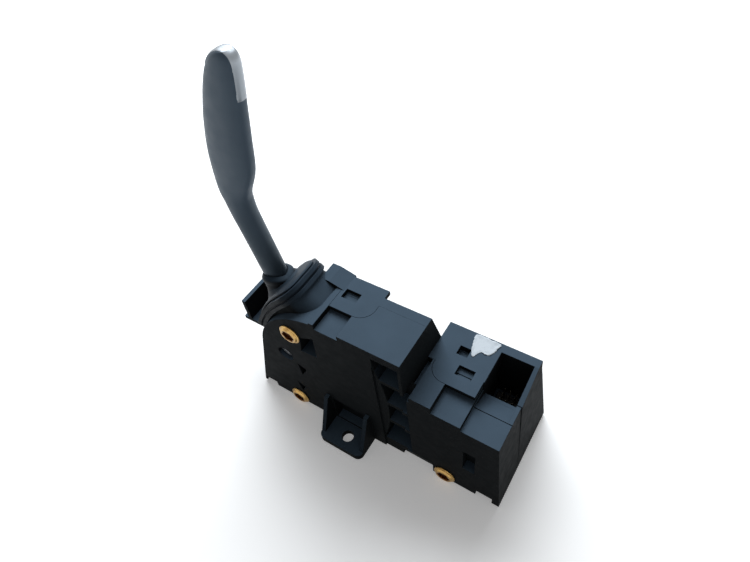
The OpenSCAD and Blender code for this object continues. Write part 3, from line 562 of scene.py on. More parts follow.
def cad_finishes(colours):
    """The finish of every CAD node that shows as it is."""
    shell = glass_filled_nylon(colours.shell)
    frame_nylon = boot_frame_nylon()
    # Ground steel: fine lines along the bar
    ground_steel = metal_finish("ground_steel", srgb_to_linear("#a9acaf"), 0.3, (1, 8, 1), "#6e6a64", 0.3)
    # Sintered bronze: dull gold with open pores
    bronze = metal_finish("sintered_bronze", srgb_to_linear("#a8803f"), 0.5, None, "#5d4726", 0.5)
    # Sintered ferrite: dark grey, pressed and ground
    ferrite = moulded_finish("pressed_ferrite", srgb_to_linear("#3c3d40"), 0.5, 0.3, 0.02, 3.0)[0]
    # Transfer-moulded epoxy of the chips: matt black
    resin = moulded_finish("chip_resin", srgb_to_linear("#1b1c1e"), 0.6, 0.2, 0.01, 4.0)[0]
    stop_rubber = moulded_finish("stop_rubber", srgb_to_linear("#17181a"), 0.7, 0.5, 0.02, 5.0)[0]
    header = moulded_finish("header_moulding", srgb_to_linear("#0b0c0d"), 0.5, 0.4, 0.008, 8.0)[0]
    natural = acetal()
    return {
        "front_housing": shell,
        "rear_housing": shell,
        "boot_frame": frame_nylon,
        "lever_core": ground_steel,
        "selector_carrier": natural,
        "pivot_shaft": ground_steel,
        "front_bush": bronze,
        "rear_bush": bronze,
        "shaft_clip": ground_steel,
        "lever_pin": ground_steel,
        "detent_plunger": ground_steel,
        "detent_spring": ground_steel,
        "detent_track": natural,
        "stop_pads": stop_rubber,
        "position_magnet": ferrite,
        "circuit_board": board_laminate(),
        "board_chips": resin,
        "hall_sensors": resin,
        "board_screws": ground_steel,
        "connector_header": header,
    }


# ---------------------------------------------------------------- operators


class STALK_OT_stage(bpy.types.Operator):
    """Floor, light and the camera at the photograph's angle"""

    bl_idname = "stalk.stage"
    bl_label = "Stage"

    floor_half = 3.0

    def execute(self, context):
        scene = context.scene
        scene.view_settings.view_transform = "Standard"
        self.add_floor()
        self.add_world(scene)
        # A wide soft box behind and above, and a weak one in front
        self.add_lamp("overhead_softbox", (-0.34, 0.6, 0.86), 0.8, 15.0)
        self.add_lamp("front_fill", (0.7, -0.8, 0.5), 0.9, 0.15)
        self.add_camera(scene)
        return {"FINISHED"}

    def add_floor(self):
        half = self.floor_half
        corners = [(-half, -half, 0), (half, -half, 0), (half, half, 0), (-half, half, 0)]
        floor = mesh_object("studio_floor", [Vector(c) - Vector((0, 0, 0.1 * MM)) for c in corners], [(0, 1, 2, 3)])
        material, tree, shader, place = start_finish("studio_paper")
        slow = between(tree, noise(tree, place, 240.0), 0.3, 0.7)
        tree.links.new(
            blend_colours(tree, slow, srgb_to_linear("#f9f9f9"), srgb_to_linear("#fcfcfc")),
            shader.inputs["Base Color"],
        )
        shader.inputs["Roughness"].default_value = 0.95
        shader.inputs["Specular IOR Level"].default_value = 0.1
        path = add_node(tree, "ShaderNodeLightPath")
        seen = add_node(
            tree,
            "ShaderNodeMath",
            {0: path.outputs["Is Camera Ray"], 1: path.outputs["Is Glossy Ray"]},
            operation="MAXIMUM",
        ).outputs[0]
        seen = add_node(
            tree, "ShaderNodeMath", {0: seen, 1: path.outputs["Is Transmission Ray"]}, operation="MAXIMUM"
        ).outputs[0]
        shader.inputs["Emission Color"].default_value = (1, 1, 1, 1)
        # Away from the object the paper is as white as the background, so no edge of it shows
        away = add_node(tree, "ShaderNodeVectorMath", {0: place}, operation="LENGTH").outputs["Value"]
        glow = between(tree, away, 140 * MM, 420 * MM, 0.24, 1.0)
        tree.links.new(times(tree, seen, glow), shader.inputs["Emission Strength"])
        floor.data.materials.append(material)

    def add_world(self, scene):
        world = bpy.data.worlds.new("studio_world")
        scene.world = world
        world.use_nodes = True
        tree = world.node_tree
        tree.nodes.clear()
        path = add_node(tree, "ShaderNodeLightPath")
        seen = add_node(
            tree,
            "ShaderNodeMath",
            {0: path.outputs["Is Camera Ray"], 1: path.outputs["Is Glossy Ray"]},
            operation="MAXIMUM",
        ).outputs[0]
        seen = add_node(
            tree, "ShaderNodeMath", {0: seen, 1: path.outputs["Is Transmission Ray"]}, operation="MAXIMUM"
        ).outputs[0]
        strength = between(tree, seen, 0.0, 1.0, 0.2, 1.0)
        back = add_node(tree, "ShaderNodeBackground", {"Color": (1, 1, 1, 1), "Strength": strength})
        add_node(tree, "ShaderNodeOutputWorld", {"Surface": back.outputs["Background"]})

    def add_lamp(self, name, place, size, power):
        lamp = bpy.data.lights.new(name, "AREA")
        lamp.shape = "SQUARE"
        lamp.size = size
        lamp.energy = power
        lamp.color = srgb_to_linear("#f3f8fc")[:3]
        lamp_object = bpy.data.objects.new(name, lamp)
        bpy.context.scene.collection.objects.link(lamp_object)
        target = (CAD_LOW + CAD_HIGH) / 2
        lamp_object.location = place
        lamp_object.rotation_mode = "QUATERNION"
        lamp_object.rotation_quaternion = (target - Vector(place)).to_track_quat("-Z", "Y")

    def add_camera(self, scene):
        lens = bpy.data.cameras.new("photo_camera")
        lens.lens = CAMERA_LENS
        lens.sensor_width = CAMERA_SENSOR
        lens.clip_start = 10 * MM
        lens.clip_end = 20.0
        camera = bpy.data.objects.new("photo_camera", lens)
        scene.collection.objects.link(camera)
        turn = Matrix((CAMERA_RIGHT, -Vector(CAMERA_DOWN), -Vector(CAMERA_FORWARD))).transposed()
        camera.matrix_world = Matrix.Translation(Vector(CAMERA_PLACE) * MM) @ turn.to_4x4()
        scene.camera = camera


class STALK_OT_solids(bpy.types.Operator):
    """Finishes of the CAD nodes that show as they are"""

    bl_idname = "stalk.solids"
    bl_label = "Shells and mechanism"

    def execute(self, context):
        for node, finish in cad_finishes(context.scene.stalk_colours).items():
            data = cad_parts[node].data
            data.materials.clear()
            data.materials.append(finish)
        return {"FINISHED"}


# Rows of the handle: left edge, right edge, half thickness and squareness, up the lever
HANDLE_ROWS = (
    (-48.45, 116.4, -37.15, 116.0, 4.75, 2.1),
    (-49.45, 122.4, -35.9, 120.7, 4.7, 2.2),
    (-47.9, 136.4, -30.55, 131.4, 4.6, 2.3),
    (-44.3, 149.2, -27.4, 144.8, 4.35, 2.3),
    (-39.55, 160.8, -24.75, 157.0, 4.1, 2.3),
    (-35.95, 167.8, -22.85, 165.9, 3.8, 2.3),
    (-34.05, 170.7, -21.95, 170.6, 3.55, 2.3),
    (-32.3, 173.0, -21.75, 173.2, 3.35, 2.3),
    (-30.2, 174.75, -22.4, 174.95, 3.05, 2.3),
    (-28.2, 175.8, -23.7, 175.95, 2.6, 2.2),
)
# Sideways place of the stem in the boot and above it, from the lever's line
STEM_SHIFT = 0.75
# Rounding of the tip over the last row: share of the row's size and rise
HANDLE_CAP = ((0.82, 0.17), (0.55, 0.27), (0.25, 0.31))
STEM_STATIONS = (24.5, 35.0, 45.0, 54.0, 62.0, 68.5)


def handle_rows(stem_diameter):
    """Rows of the whole handle, from inside the boot to the tip."""
    rows = []
    for along in STEM_STATIONS:
        half = stem_diameter / MM / 2 * (1.0 if along < 60 else 1.0 + 0.012 * (along - 60))
        left, right = lever_point(STEM_SHIFT - half, along), lever_point(STEM_SHIFT + half, along)
        rows.append((left[0], left[2], right[0], right[2], stem_diameter / MM / 2, 2.0))
    return smooth_rows(rows + list(HANDLE_ROWS), 6)


def handle_ring(row, count):
    """A ring of the handle from one of its rows."""
    across, through = super_circle(count, row[5])
    left, right = np.array(row[0:2]), np.array(row[2:4])
    flat = (left + right) / 2 + np.outer(across, (right - left) / 2)
    return np.stack([flat[:, 0], LEVER_Y + row[4] * through, flat[:, 1]], -1)


def handle_rings(stem_diameter, ring_points=96):
    """Rings of the whole handle, closed over its blunt tip."""
    rings = [handle_ring(row, ring_points) for row in handle_rows(stem_diameter)]
    top = rings[-1]
    centre = top.mean(0)
    caps = [centre + (top - centre) * share + np.array([0, 0, lift]) for share, lift in HANDLE_CAP]
    return rings + caps


class STALK_OT_handle(bpy.types.Operator):
    """Lever handle: a round stem that flows into a thin leaf-shaped paddle"""

    bl_idname = "stalk.handle"
    bl_label = "Handle"

    def execute(self, context):
        handle = loft("lever_handle", handle_rings(context.scene.stalk_lever.stem_diameter))
        dress(handle, soft_touch_lacquer(context.scene.stalk_colours.handle))
        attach(handle, "lever")
        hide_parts("lever_grip")
        return {"FINISHED"}


# Ends of the bright strip, in X and Z: a place on the cut and the way out of the strip
TRIM_ENDS = (((-23.8, 160.7), (-0.23, -0.97)), ((-33.2, 172.1), (-0.92, -0.39)))


class STALK_OT_trim(bpy.types.Operator):
    """Bright strip let into the narrow edge of the handle"""

    bl_idname = "stalk.trim"
    bl_label = "Edge trim"

    strip_depth = 0.6

    def execute(self, context):
        sizes = context.scene.stalk_lever
        strip = loft("edge_trim", handle_rings(sizes.stem_diameter))
        half = sizes.trim_width / 2
        cuts = [((0, LEVER_Y * MM + side * half, 0), (0, side, 0)) for side in (-1, 1)]
        cuts += [((x * MM, 0, z * MM), (out_x, 0, out_z)) for (x, z), (out_x, out_z) in TRIM_ENDS]
        work = bmesh.new()
        work.from_mesh(strip.data)
        for place, outward in cuts:
            geometry = list(work.verts) + list(work.edges) + list(work.faces)
            bmesh.ops.bisect_plane(work, geom=geometry, plane_co=place, plane_no=outward, clear_outer=True)
        work.normal_update()
        sink = self.strip_depth * MM - sizes.trim_rise
        for vertex, way in [(v, v.normal.copy()) for v in work.verts]:
            vertex.co -= way * sink
        work.to_mesh(strip.data)
        work.free()
        wall = strip.modifiers.new("thickness", "SOLIDIFY")
        wall.thickness = self.strip_depth * MM
        wall.offset = 1.0
        edges = strip.modifiers.new("rounded", "BEVEL")
        edges.width = 0.1 * MM
        edges.segments = 2
        edges.limit_method = "ANGLE"
        edges.angle_limit = math.radians(50)
        dress(strip, satin_silver(context.scene.stalk_colours.trim))
        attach(strip, "lever")
        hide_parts("lever_trim")
        return {"FINISHED"}


# Bow of the boot's frame over the crown: radius and height of its middle over the straight slope
BOW_RADIUS = 82.0
# Shoulder of the boot: half length, half width and height over the slope at its middle, outside then inside
SHOULDER_OUTSIDE = (
    (20.9, 9.7, 6.6),
    (21.8, 10.6, 6.55),
    (22.0, 10.8, 6.75),
    (21.95, 10.75, 7.05),
    (21.6, 10.4, 7.3),
    (20.6, 9.6, 7.4),
    (19.0, 9.0, 7.4),
)
SHOULDER_INSIDE = ((18.6, 8.3, 6.5), (20.2, 9.2, 6.45))
SHOULDER_SQUARENESS = 4.6
# Foot of the collar, which follows the shoulder: radius, extra radius on its low side, height and lean to the lip
COLLAR_FOOT = (
    (8.2, 1.2, 0.0, 0.0),
    (7.6, 0.9, 0.4, 0.04),
    (7.1, 0.5, 1.2, 0.14),
    (6.75, 0.2, 1.4, 0.4),
    (6.55, 0.0, 0.8, 0.7),
)
COLLAR_INSIDE = ((5.0, 0.0, 0.8, 0.7), (5.6, 0.2, 1.2, 0.4), (6.2, 0.5, 0.2, 0.14), (7.0, 0.7, -0.9, 0.0))
# Lip of the collar: distance up the lever, radius and share of the raised front, from the neck into the bore
COLLAR_LIP = (
    (33.9, 6.5, 0.3),
    (34.5, 6.45, 0.55),
    (34.9, 6.6, 0.8),
    (35.7, 6.6, 1.0),
    (36.3, 6.2, 1.0),
    (36.7, 5.7, 1.0),
    (37.0, 5.3, 1.0),
    (37.0, 5.0, 1.0),
    (36.0, 4.8, 0.9),
    (33.5, 4.8, 0.3),
)
COLLAR_NECK = 34.3
# Sideways place of the collar from the lever's line, and how far its front stands above its sides
COLLAR_SHIFT = 1.5
COLLAR_FRONT = 2.6


class STALK_OT_boot(bpy.types.Operator):
    """Rubber boot: a raised shoulder bowed over the crown and a collar round the stem"""

    bl_idname = "stalk.boot"
    bl_label = "Boot"

    ring_points = 120

    def execute(self, context):
        sizes = context.scene.stalk_boot
        scale = sizes.collar_diameter / MM / 14.4
        rows = [self.shoulder_ring(*row) for row in smooth_rows(SHOULDER_OUTSIDE, 3)]
        foot = self.collar_ring(*COLLAR_FOOT[0], scale)
        rows.append((rows[-1] * 2 + foot) / 3)
        rows += [self.collar_ring(*row, scale) for row in smooth_rows(COLLAR_FOOT, 3)]
        rows += [self.lip_ring(along, radius, raised, scale) for along, radius, raised in smooth_rows(COLLAR_LIP, 4)]
        rows += [self.collar_ring(*row, scale) for row in COLLAR_INSIDE]
        rows += [self.shoulder_ring(*row) for row in SHOULDER_INSIDE]
        rows.append(rows[0])
        boot = loft("rubber_boot", rows, close_first=False, close_last=False)
        self.join_ends(boot)
        dress(boot, moulded_rubber(context.scene.stalk_colours.rubber))
        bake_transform(boot)
        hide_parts("boot", "collar_ring")
        return {"FINISHED"}

    def join_ends(self, boot):
        """Joins the first ring with its copy at the end, so that the rubber is one closed skin."""
        work = bmesh.new()
        work.from_mesh(boot.data)
        bmesh.ops.remove_doubles(work, verts=work.verts, dist=0.001 * MM)
        bmesh.ops.recalc_face_normals(work, faces=work.faces)
        work.to_mesh(boot.data)
        work.free()

    def surface(self, up, level):
        """Height over the straight slope of the bowed shoulder, a little lower down the slope."""
        low = min(1.0, max(0.0, (-4.0 - up) / 8.0))
        return level - (BOW_RADIUS - math.sqrt(BOW_RADIUS**2 - up**2)) - 0.5 * low

    def shoulder_ring(self, half_length, half_width, level):
        across, through = super_circle(self.ring_points, SHOULDER_SQUARENESS)
        return np.array(
            [slope_point(u * half_length, y * half_width, self.surface(u * half_length, level)) for u, y in zip(across, through)]
        )

    def collar_ring(self, radius, flare, rise, lean, scale):
        """A ring round the lever whose height goes from the shoulder's surface to the level neck as it leans."""
        ring = []
        for turn in np.linspace(0, 2 * math.pi, self.ring_points, endpoint=False):
            r = (radius + flare * (0.5 - 0.5 * math.cos(turn))) * scale
            across = COLLAR_SHIFT + r * math.cos(turn)
            along = self.meeting(across, SHOULDER_OUTSIDE[-1][2]) + rise
            ring.append(lever_point(across, along * (1 - lean) + COLLAR_NECK * lean, r * math.sin(turn)))
        return np.array(ring)

    def meeting(self, across, level):
        """Distance up the lever where a line beside it meets the shoulder's surface."""
        low, high = 0.0, 80.0
        for _ in range(30):
            middle = (low + high) / 2
            x, _, z = lever_point(across, middle)
            up, out = slope_place(x, z)
            low, high = (middle, high) if out < self.surface(max(-40.0, min(40.0, up)), level) else (low, middle)
        return low

    def lip_ring(self, along, radius, raised, scale):
        """A ring of the collar's lip, which stands higher in front and closes on the stem."""
        outer = radius * scale if radius > 6 else radius
        middle = COLLAR_SHIFT + (STEM_SHIFT - COLLAR_SHIFT) * min(1.0, max(0.0, (6.6 - radius) / 1.6))
        ring = []
        for turn in np.linspace(0, 2 * math.pi, self.ring_points, endpoint=False):
            lift = COLLAR_FRONT * raised * max(0.0, -math.sin(turn)) ** 1.3
            ring.append(lever_point(middle + outer * math.cos(turn), along + lift, outer * math.sin(turn)))
        return np.array(ring)


class STALK_OT_screws(bpy.types.Operator):
    """Flanged housing screws with a star recess, set at their three places"""

    bl_idname = "stalk.screws"
    bl_label = "Housing screws"

    ring_points = 72
    lobes = 6
    # Profile of the screw from the head's middle outwards and down: radius, height and share of the star
    profile = (
        (0.0, 0.03, 1.0),
        (0.26, 0.03, 1.0),
        (0.3, 0.045, 1.0),
        (0.305, 0.15, 1.0),
        (0.315, 0.163, 0.9),
        (0.345, 0.165, 0.15),
        (0.375, 0.158, 0.0),
        (0.395, 0.14, 0.0),
        (0.405, 0.1, 0.0),
        (0.42, 0.084, 0.0),
        (0.47, 0.076, 0.0),
        (0.495, 0.062, 0.0),
        (0.5, 0.045, 0.0),
        (0.498, 0.012, 0.0),
        (0.49, 0.0, 0.0),
        (0.21, 0.0, 0.0),
    )
    thread_turns = 15

    def execute(self, context):
        sizes = context.scene.stalk_screws
        pattern = self.make_pattern()
        places = mesh_object("housing_screw_set", [Vector((x, FRONT_FACE, z)) * MM for x, z in SCREW_PLACES], [])
        group = self.make_tree()
        setter = places.modifiers.new("screws", "NODES")
        setter.node_group = group
        names = {item.name: item.identifier for item in group.interface.items_tree if item.in_out == "INPUT"}
        setter[names["Screw"]] = pattern
        setter[names["Head diameter"]] = sizes.head_diameter
        setter[names["Recess turn"]] = sizes.recess_turn
        setter[names["Finish"]] = yellow_zinc(context.scene.stalk_colours.screw)
        nodes_to_mesh(places)
        bpy.data.objects.remove(pattern)
        smooth_by_angle(places, 35)
        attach(places, "housing")
        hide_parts("housing_screws")
        return {"FINISHED"}

    def make_pattern(self):
        """One screw of head diameter 1 m, its axis along -Y, its seat at the origin."""
        rings = []
        turn = np.linspace(0, 2 * math.pi, self.ring_points, endpoint=False)
        star = 1 - 0.2 * (0.5 - 0.5 * np.cos(self.lobes * turn)) ** 0.8
        for radius, height, share in self.profile:
            r = max(radius, 0.002) * (1 - share + share * star)
            rings.append([(x, -height, z) for x, z in zip(r * np.cos(turn), r * np.sin(turn))])
        steps = self.thread_turns * 4
        for k in range(1, steps):
            deep = -2.4 * k / steps
            radius = 0.2 if k % 4 in (0, 1) else 0.165
            rings.append([(x, -deep, z) for x, z in zip(radius * np.cos(turn), radius * np.sin(turn))])
        rings.append([(x, 2.4, z) for x, z in zip(0.12 * np.cos(turn), 0.12 * np.sin(turn))])
        scaled_rings = [[(x / MM, y / MM, z / MM) for x, y, z in ring] for ring in rings]
        screw = loft("screw_pattern", scaled_rings)
        # Painted shade: full in the star recess, three quarters on its rim, none elsewhere
        recess_shade = [1.0 if share > 0.95 else 0.75 if share > 0.5 else 0.0 for _, _, share in self.profile]
        recess_shade += [0.0] * (len(rings) - len(self.profile))
        mark = screw.data.attributes.new(RECESS_SHADE_MARK, "FLOAT", "POINT")
        mark.data.foreach_set("value", np.repeat(recess_shade, self.ring_points))
        return screw

    def make_tree(self):
        tree = bpy.data.node_groups.new("housing_screws", "GeometryNodeTree")
        for name, kind in (
            ("Places", "NodeSocketGeometry"),
            ("Screw", "NodeSocketObject"),
            ("Head diameter", "NodeSocketFloat"),
            ("Recess turn", "NodeSocketFloat"),
            ("Finish", "NodeSocketMaterial"),
        ):
            tree.interface.new_socket(name, in_out="INPUT", socket_type=kind)
        tree.interface.new_socket("Screws", in_out="OUTPUT", socket_type="NodeSocketGeometry")
        given = add_node(tree, "NodeGroupInput").outputs
        pattern = add_node(tree, "GeometryNodeObjectInfo", {"Object": given["Screw"]}).outputs["Geometry"]
        number = add_node(tree, "GeometryNodeInputIndex").outputs["Index"]
        turned = add_node(tree, "ShaderNodeMath", {0: number, 1: given["Recess turn"]}, operation="MULTIPLY").outputs[0]
        spin = add_node(tree, "ShaderNodeCombineXYZ", {"Y": turned}).outputs["Vector"]
        spin = add_node(tree, "FunctionNodeEulerToRotation", {"Euler": spin}).outputs["Rotation"]
        grown = add_node(
            tree,
            "ShaderNodeCombineXYZ",
            {"X": given["Head diameter"], "Y": given["Head diameter"], "Z": given["Head diameter"]},
        ).outputs["Vector"]
        put = add_node(
            tree,
            "GeometryNodeInstanceOnPoints",
            {"Points": given["Places"], "Instance": pattern, "Rotation": spin, "Scale": grown},
        ).outputs["Instances"]
        real = add_node(tree, "GeometryNodeRealizeInstances", {"Geometry": put}).outputs["Geometry"]
        done = add_node(tree, "GeometryNodeSetMaterial", {"Geometry": real, "Material": given["Finish"]})
        add_node(tree, "NodeGroupOutput", {"Screws": done.outputs["Geometry"]})
        return tree


class STALK_OT_spring(bpy.types.Operator):
    """Detent spring, wound on one wire"""

    bl_idname = "stalk.spring"
    bl_label = "Detent spring"

    # The plunger's travel, which the spring gives up at the joint's limit
    travel = 1.5

    def execute(self, context):
        sizes = context.scene.stalk_spring
        low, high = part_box("detent_spring")
        length, radius = high[0] - low[0], (high[2] - low[2]) / 2
        spring = mesh_object("detent_spring_coil", [(0, 0, 0)], [])
        group = self.make_tree()
        setter = spring.modifiers.new("spring", "NODES")
        setter.node_group = group
        names = {item.name: item.identifier for item in group.interface.items_tree if item.in_out == "INPUT"}
        setter[names["Coils"]] = float(sizes.coils)
        setter[names["Radius"]] = radius - sizes.wire / 2
        setter[names["Length"]] = length - sizes.wire
        setter[names["Wire"]] = sizes.wire / 2
        # Spring steel: bright drawn wire with a faint straw tint
        setter[names["Finish"]] = metal_finish("spring_steel", srgb_to_linear("#b3b0a8"), 0.28, (1, 1, 6), "#6b6252", 0.3)
        nodes_to_mesh(spring)
        turn_outwards(spring.data)
        middle = (Vector(low) + Vector(high)) / 2
        start = Vector((low[0] + sizes.wire / 2, middle[1], middle[2]))
        spring.data.transform(Matrix.Translation(start) @ Matrix.Rotation(math.radians(90), 4, "Y"))
        spring.data.polygons.foreach_set("use_smooth", [True] * len(spring.data.polygons))
        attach(spring, "lever")
        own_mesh(spring)
        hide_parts("detent_spring")
        return {"FINISHED"}

    def make_tree(self):
        tree = bpy.data.node_groups.new("detent_spring", "GeometryNodeTree")
        for name, kind in (
            ("Start", "NodeSocketGeometry"),
            ("Coils", "NodeSocketFloat"),
            ("Radius", "NodeSocketFloat"),
            ("Length", "NodeSocketFloat"),
            ("Wire", "NodeSocketFloat"),
            ("Finish", "NodeSocketMaterial"),
        ):
            tree.interface.new_socket(name, in_out="INPUT", socket_type=kind)
        tree.interface.new_socket("Spring", in_out="OUTPUT", socket_type="NodeSocketGeometry")
        given = add_node(tree, "NodeGroupInput").outputs
        path = add_node(
            tree,
            "GeometryNodeCurveSpiral",
            {
                "Resolution": 40,
                "Rotations": given["Coils"],
                "Start Radius": given["Radius"],
                "End Radius": given["Radius"],
                "Height": given["Length"],
            },
        ).outputs["Curve"]
        round_wire = add_node(
            tree, "GeometryNodeCurvePrimitiveCircle", {"Resolution": 10, "Radius": given["Wire"]}
        ).outputs["Curve"]
        wound = add_node(
            tree, "GeometryNodeCurveToMesh", {"Curve": path, "Profile Curve": round_wire, "Fill Caps": True}
        ).outputs["Mesh"]
        real = add_node(tree, "GeometryNodeRealizeInstances", {"Geometry": wound}).outputs["Geometry"]
        done = add_node(tree, "GeometryNodeSetMaterial", {"Geometry": real, "Material": given["Finish"]})
        add_node(tree, "NodeGroupOutput", {"Spring": done.outputs["Geometry"]})
        return tree


class STALK_OT_contacts(bpy.types.Operator):
    """Rows of square contacts with tapered tips in the connector socket"""

    bl_idname = "stalk.contacts"
    bl_label = "Contacts"

    tip_share = 0.05

    def execute(self, context):
        sizes = context.scene.stalk_contacts
        group = self.make_tree()
        # Tin over bronze: pale, slightly yellow metal
        tin = metal_finish("tinned_bronze", srgb_to_linear("#6a665c"), 0.5, (8, 8, 1), "#26231e", 0.6)
        contacts = mesh_object("connector_contacts", [(0, 0, 0)], [])
        setter = contacts.modifiers.new("contacts", "NODES")
        setter.node_group = group
        names = {item.name: item.identifier for item in group.interface.items_tree if item.in_out == "INPUT"}
        setter[names["Rows"]] = sizes.rows
        setter[names["Contacts per row"]] = sizes.per_row
        setter[names["Pitch"]] = sizes.pitch
        setter[names["Width"]] = sizes.width
        setter[names["Length"]] = sizes.length
        setter[names["Finish"]] = tin
        nodes_to_mesh(contacts)
        middle = Vector((CONTACT_MIDDLE[0], CONTACT_MIDDLE[1], CONTACT_FOOT)) * MM
        contacts.data.transform(Matrix.Translation(middle))
        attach(contacts, "housing")
        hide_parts("connector_pins")
        return {"FINISHED"}

    def make_tree(self):
        tree = bpy.data.node_groups.new("connector_contacts", "GeometryNodeTree")
        for name, kind in (
            ("Start", "NodeSocketGeometry"),
            ("Rows", "NodeSocketInt"),
            ("Contacts per row", "NodeSocketInt"),
            ("Pitch", "NodeSocketFloat"),
            ("Width", "NodeSocketFloat"),
            ("Length", "NodeSocketFloat"),
            ("Finish", "NodeSocketMaterial"),
        ):
            tree.interface.new_socket(name, in_out="INPUT", socket_type=kind)
        tree.interface.new_socket("Contacts", in_out="OUTPUT", socket_type="NodeSocketGeometry")
        given = add_node(tree, "NodeGroupInput").outputs

        def maths(operation, first, second):
            return add_node(tree, "ShaderNodeMath", {0: first, 1: second}, operation=operation).outputs[0]

        wide = maths("SUBTRACT", given["Rows"], 1.0)
        deep = maths("SUBTRACT", given["Contacts per row"], 1.0)
        grid = add_node(
            tree,
            "GeometryNodeMeshGrid",
            {
                "Size X": maths("MULTIPLY", given["Pitch"], wide),
                "Size Y": maths("MULTIPLY", given["Pitch"], deep),
                "Vertices X": given["Rows"],
                "Vertices Y": given["Contacts per row"],
            },
        ).outputs["Mesh"]
        shank = maths("MULTIPLY", given["Length"], 1.0 - self.tip_share)
        size = add_node(tree, "ShaderNodeCombineXYZ", {"X": given["Width"], "Y": given["Width"], "Z": shank})
        body = add_node(tree, "GeometryNodeMeshCube", {"Size": size.outputs["Vector"]}).outputs["Mesh"]
        up = add_node(tree, "ShaderNodeCombineXYZ", {"Z": maths("MULTIPLY", shank, 0.5)}).outputs["Vector"]
        body = add_node(
            tree, "GeometryNodeTransform", {"Geometry": body, "Translation": up}
        ).outputs["Geometry"]
        tip = add_node(
            tree,
            "GeometryNodeMeshCone",
            {
                "Vertices": 4,
                "Radius Top": maths("MULTIPLY", given["Width"], 0.3),
                "Radius Bottom": maths("MULTIPLY", given["Width"], math.sqrt(0.5)),
                "Depth": maths("MULTIPLY", given["Length"], self.tip_share),
            },
        ).outputs["Mesh"]
        over = add_node(tree, "ShaderNodeCombineXYZ", {"Z": shank}).outputs["Vector"]
        tip = add_node(
            tree,
            "GeometryNodeTransform",
            {"Geometry": tip, "Translation": over, "Rotation": (0.0, 0.0, math.radians(45))},
        ).outputs["Geometry"]
        joined = tree.nodes.new("GeometryNodeJoinGeometry")
        tree.links.new(tip, joined.inputs[0])
        tree.links.new(body, joined.inputs[0])
        put = add_node(
            tree, "GeometryNodeInstanceOnPoints", {"Points": grid, "Instance": joined.outputs["Geometry"]}
        ).outputs["Instances"]
        real = add_node(tree, "GeometryNodeRealizeInstances", {"Geometry": put}).outputs["Geometry"]
        done = add_node(tree, "GeometryNodeSetMaterial", {"Geometry": real, "Material": given["Finish"]})
        add_node(tree, "NodeGroupOutput", {"Contacts": done.outputs["Geometry"]})
        return tree


# Outline of the torn label on the low block's roof, in X and Y
LABEL_OUTLINE = (
    (41.8, 43.8),
    (45.0, 44.1),
    (49.0, 43.9),
    (52.5, 43.7),
    (52.1, 41.2),
    (51.6, 39.0),
    (50.4, 37.1),
    (48.6, 36.7),
    (47.2, 36.9),
    (46.3, 35.9),
    (45.4, 33.6),
    (44.3, 34.0),
    (43.7, 35.4),
    (43.0, 37.2),
    (42.4, 39.5),
    (41.9, 41.8),
)


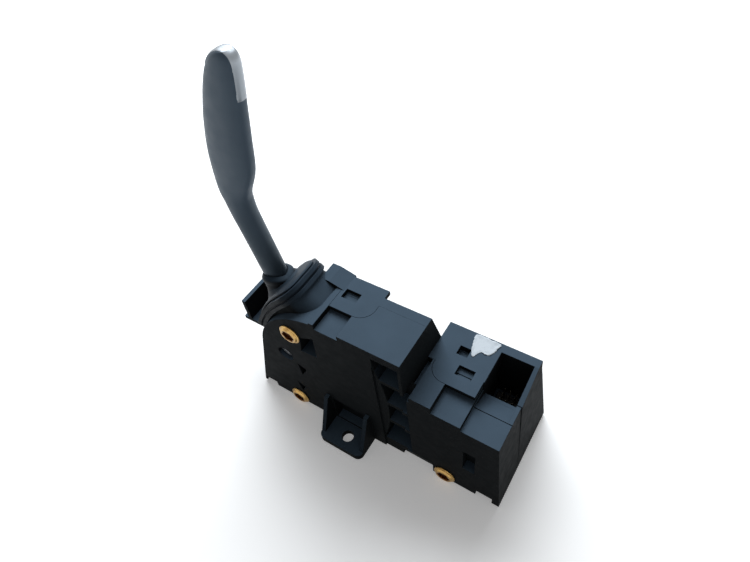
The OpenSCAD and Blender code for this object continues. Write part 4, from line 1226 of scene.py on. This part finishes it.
class STALK_OT_label(bpy.types.Operator):
    """Torn remnant of a bare paper label, its edges lifting"""

    bl_idname = "stalk.label"
    bl_label = "Label remnant"

    rings = 9

    def execute(self, context):
        sizes = context.scene.stalk_label
        closed = np.array(LABEL_OUTLINE + LABEL_OUTLINE[:1], float)
        outline = smooth_rows(closed, 5)[:-1]
        wobble = np.random.default_rng(7)
        outline = outline + wobble.normal(0, 0.09, outline.shape)
        centre = outline.mean(0)
        layers = []
        for k in range(self.rings):
            share = 1 - k / (self.rings - 1) * 0.97
            flat = centre + (outline - centre) * share
            lift = PAPER_LIFT * 0.3 + sizes.curl / MM * max(0.0, share - 0.7) / 0.3 * self.wave(flat)
            layers.append([(x, y, DECK_TOP + z) for (x, y), z in zip(flat, lift)])
        label = loft("label_remnant_paper", layers, close_first=False)
        sheet = label.modifiers.new("paper", "SOLIDIFY")
        sheet.thickness = sizes.paper
        sheet.offset = 1.0
        dress(label, label_paper(context.scene.stalk_colours.label))
        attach(label, "housing")
        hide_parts("label_remnant")
        return {"FINISHED"}

    def wave(self, flat):
        """How much each point of the edge lifts, from 0 to 1, in a slow wave round the paper."""
        return 0.5 + 0.5 * np.sin(flat[:, 0] * 1.9 + 0.6) * np.cos(flat[:, 1] * 1.3)


OPERATORS = (
    STALK_OT_stage,
    STALK_OT_solids,
    STALK_OT_handle,
    STALK_OT_trim,
    STALK_OT_boot,
    STALK_OT_screws,
    STALK_OT_spring,
    STALK_OT_contacts,
    STALK_OT_label,
)

SETTINGS = {
    "stalk_lever": StalkLeverSizes,
    "stalk_boot": StalkBootSizes,
    "stalk_screws": StalkScrewSizes,
    "stalk_spring": StalkSpringSizes,
    "stalk_contacts": StalkContactSizes,
    "stalk_label": StalkLabelSizes,
    "stalk_colours": StalkColours,
}


class STALK_PT_panel(bpy.types.Panel):
    """Pieces of the stalk and their sizes"""

    bl_idname = "STALK_PT_panel"
    bl_label = "Gear Selector Stalk"
    bl_space_type = "VIEW_3D"
    bl_region_type = "UI"
    bl_category = "Gear Stalk"

    def draw(self, context):
        for operator in OPERATORS:
            self.layout.operator(operator.bl_idname)
        for name, group in SETTINGS.items():
            box = self.layout.box()
            box.label(text=group.__doc__)
            for size in group.__annotations__:
                box.prop(getattr(context.scene, name), size)


def register():
    for group in SETTINGS.values():
        bpy.utils.register_class(group)
    for operator in OPERATORS:
        bpy.utils.register_class(operator)
    bpy.utils.register_class(STALK_PT_panel)
    for name, group in SETTINGS.items():
        setattr(bpy.types.Scene, name, PointerProperty(type=group))


def unregister():
    for name in SETTINGS:
        delattr(bpy.types.Scene, name)
    bpy.utils.unregister_class(STALK_PT_panel)
    for operator in reversed(OPERATORS):
        bpy.utils.unregister_class(operator)
    for group in SETTINGS.values():
        bpy.utils.unregister_class(group)


def main():
    register()
    bpy.ops.stalk.stage()
    bpy.ops.stalk.solids()
    bpy.ops.stalk.handle()
    bpy.ops.stalk.trim()
    bpy.ops.stalk.boot()
    bpy.ops.stalk.screws()
    bpy.ops.stalk.spring()
    bpy.ops.stalk.contacts()
    bpy.ops.stalk.label()


if __name__ == "__main__":
    main()
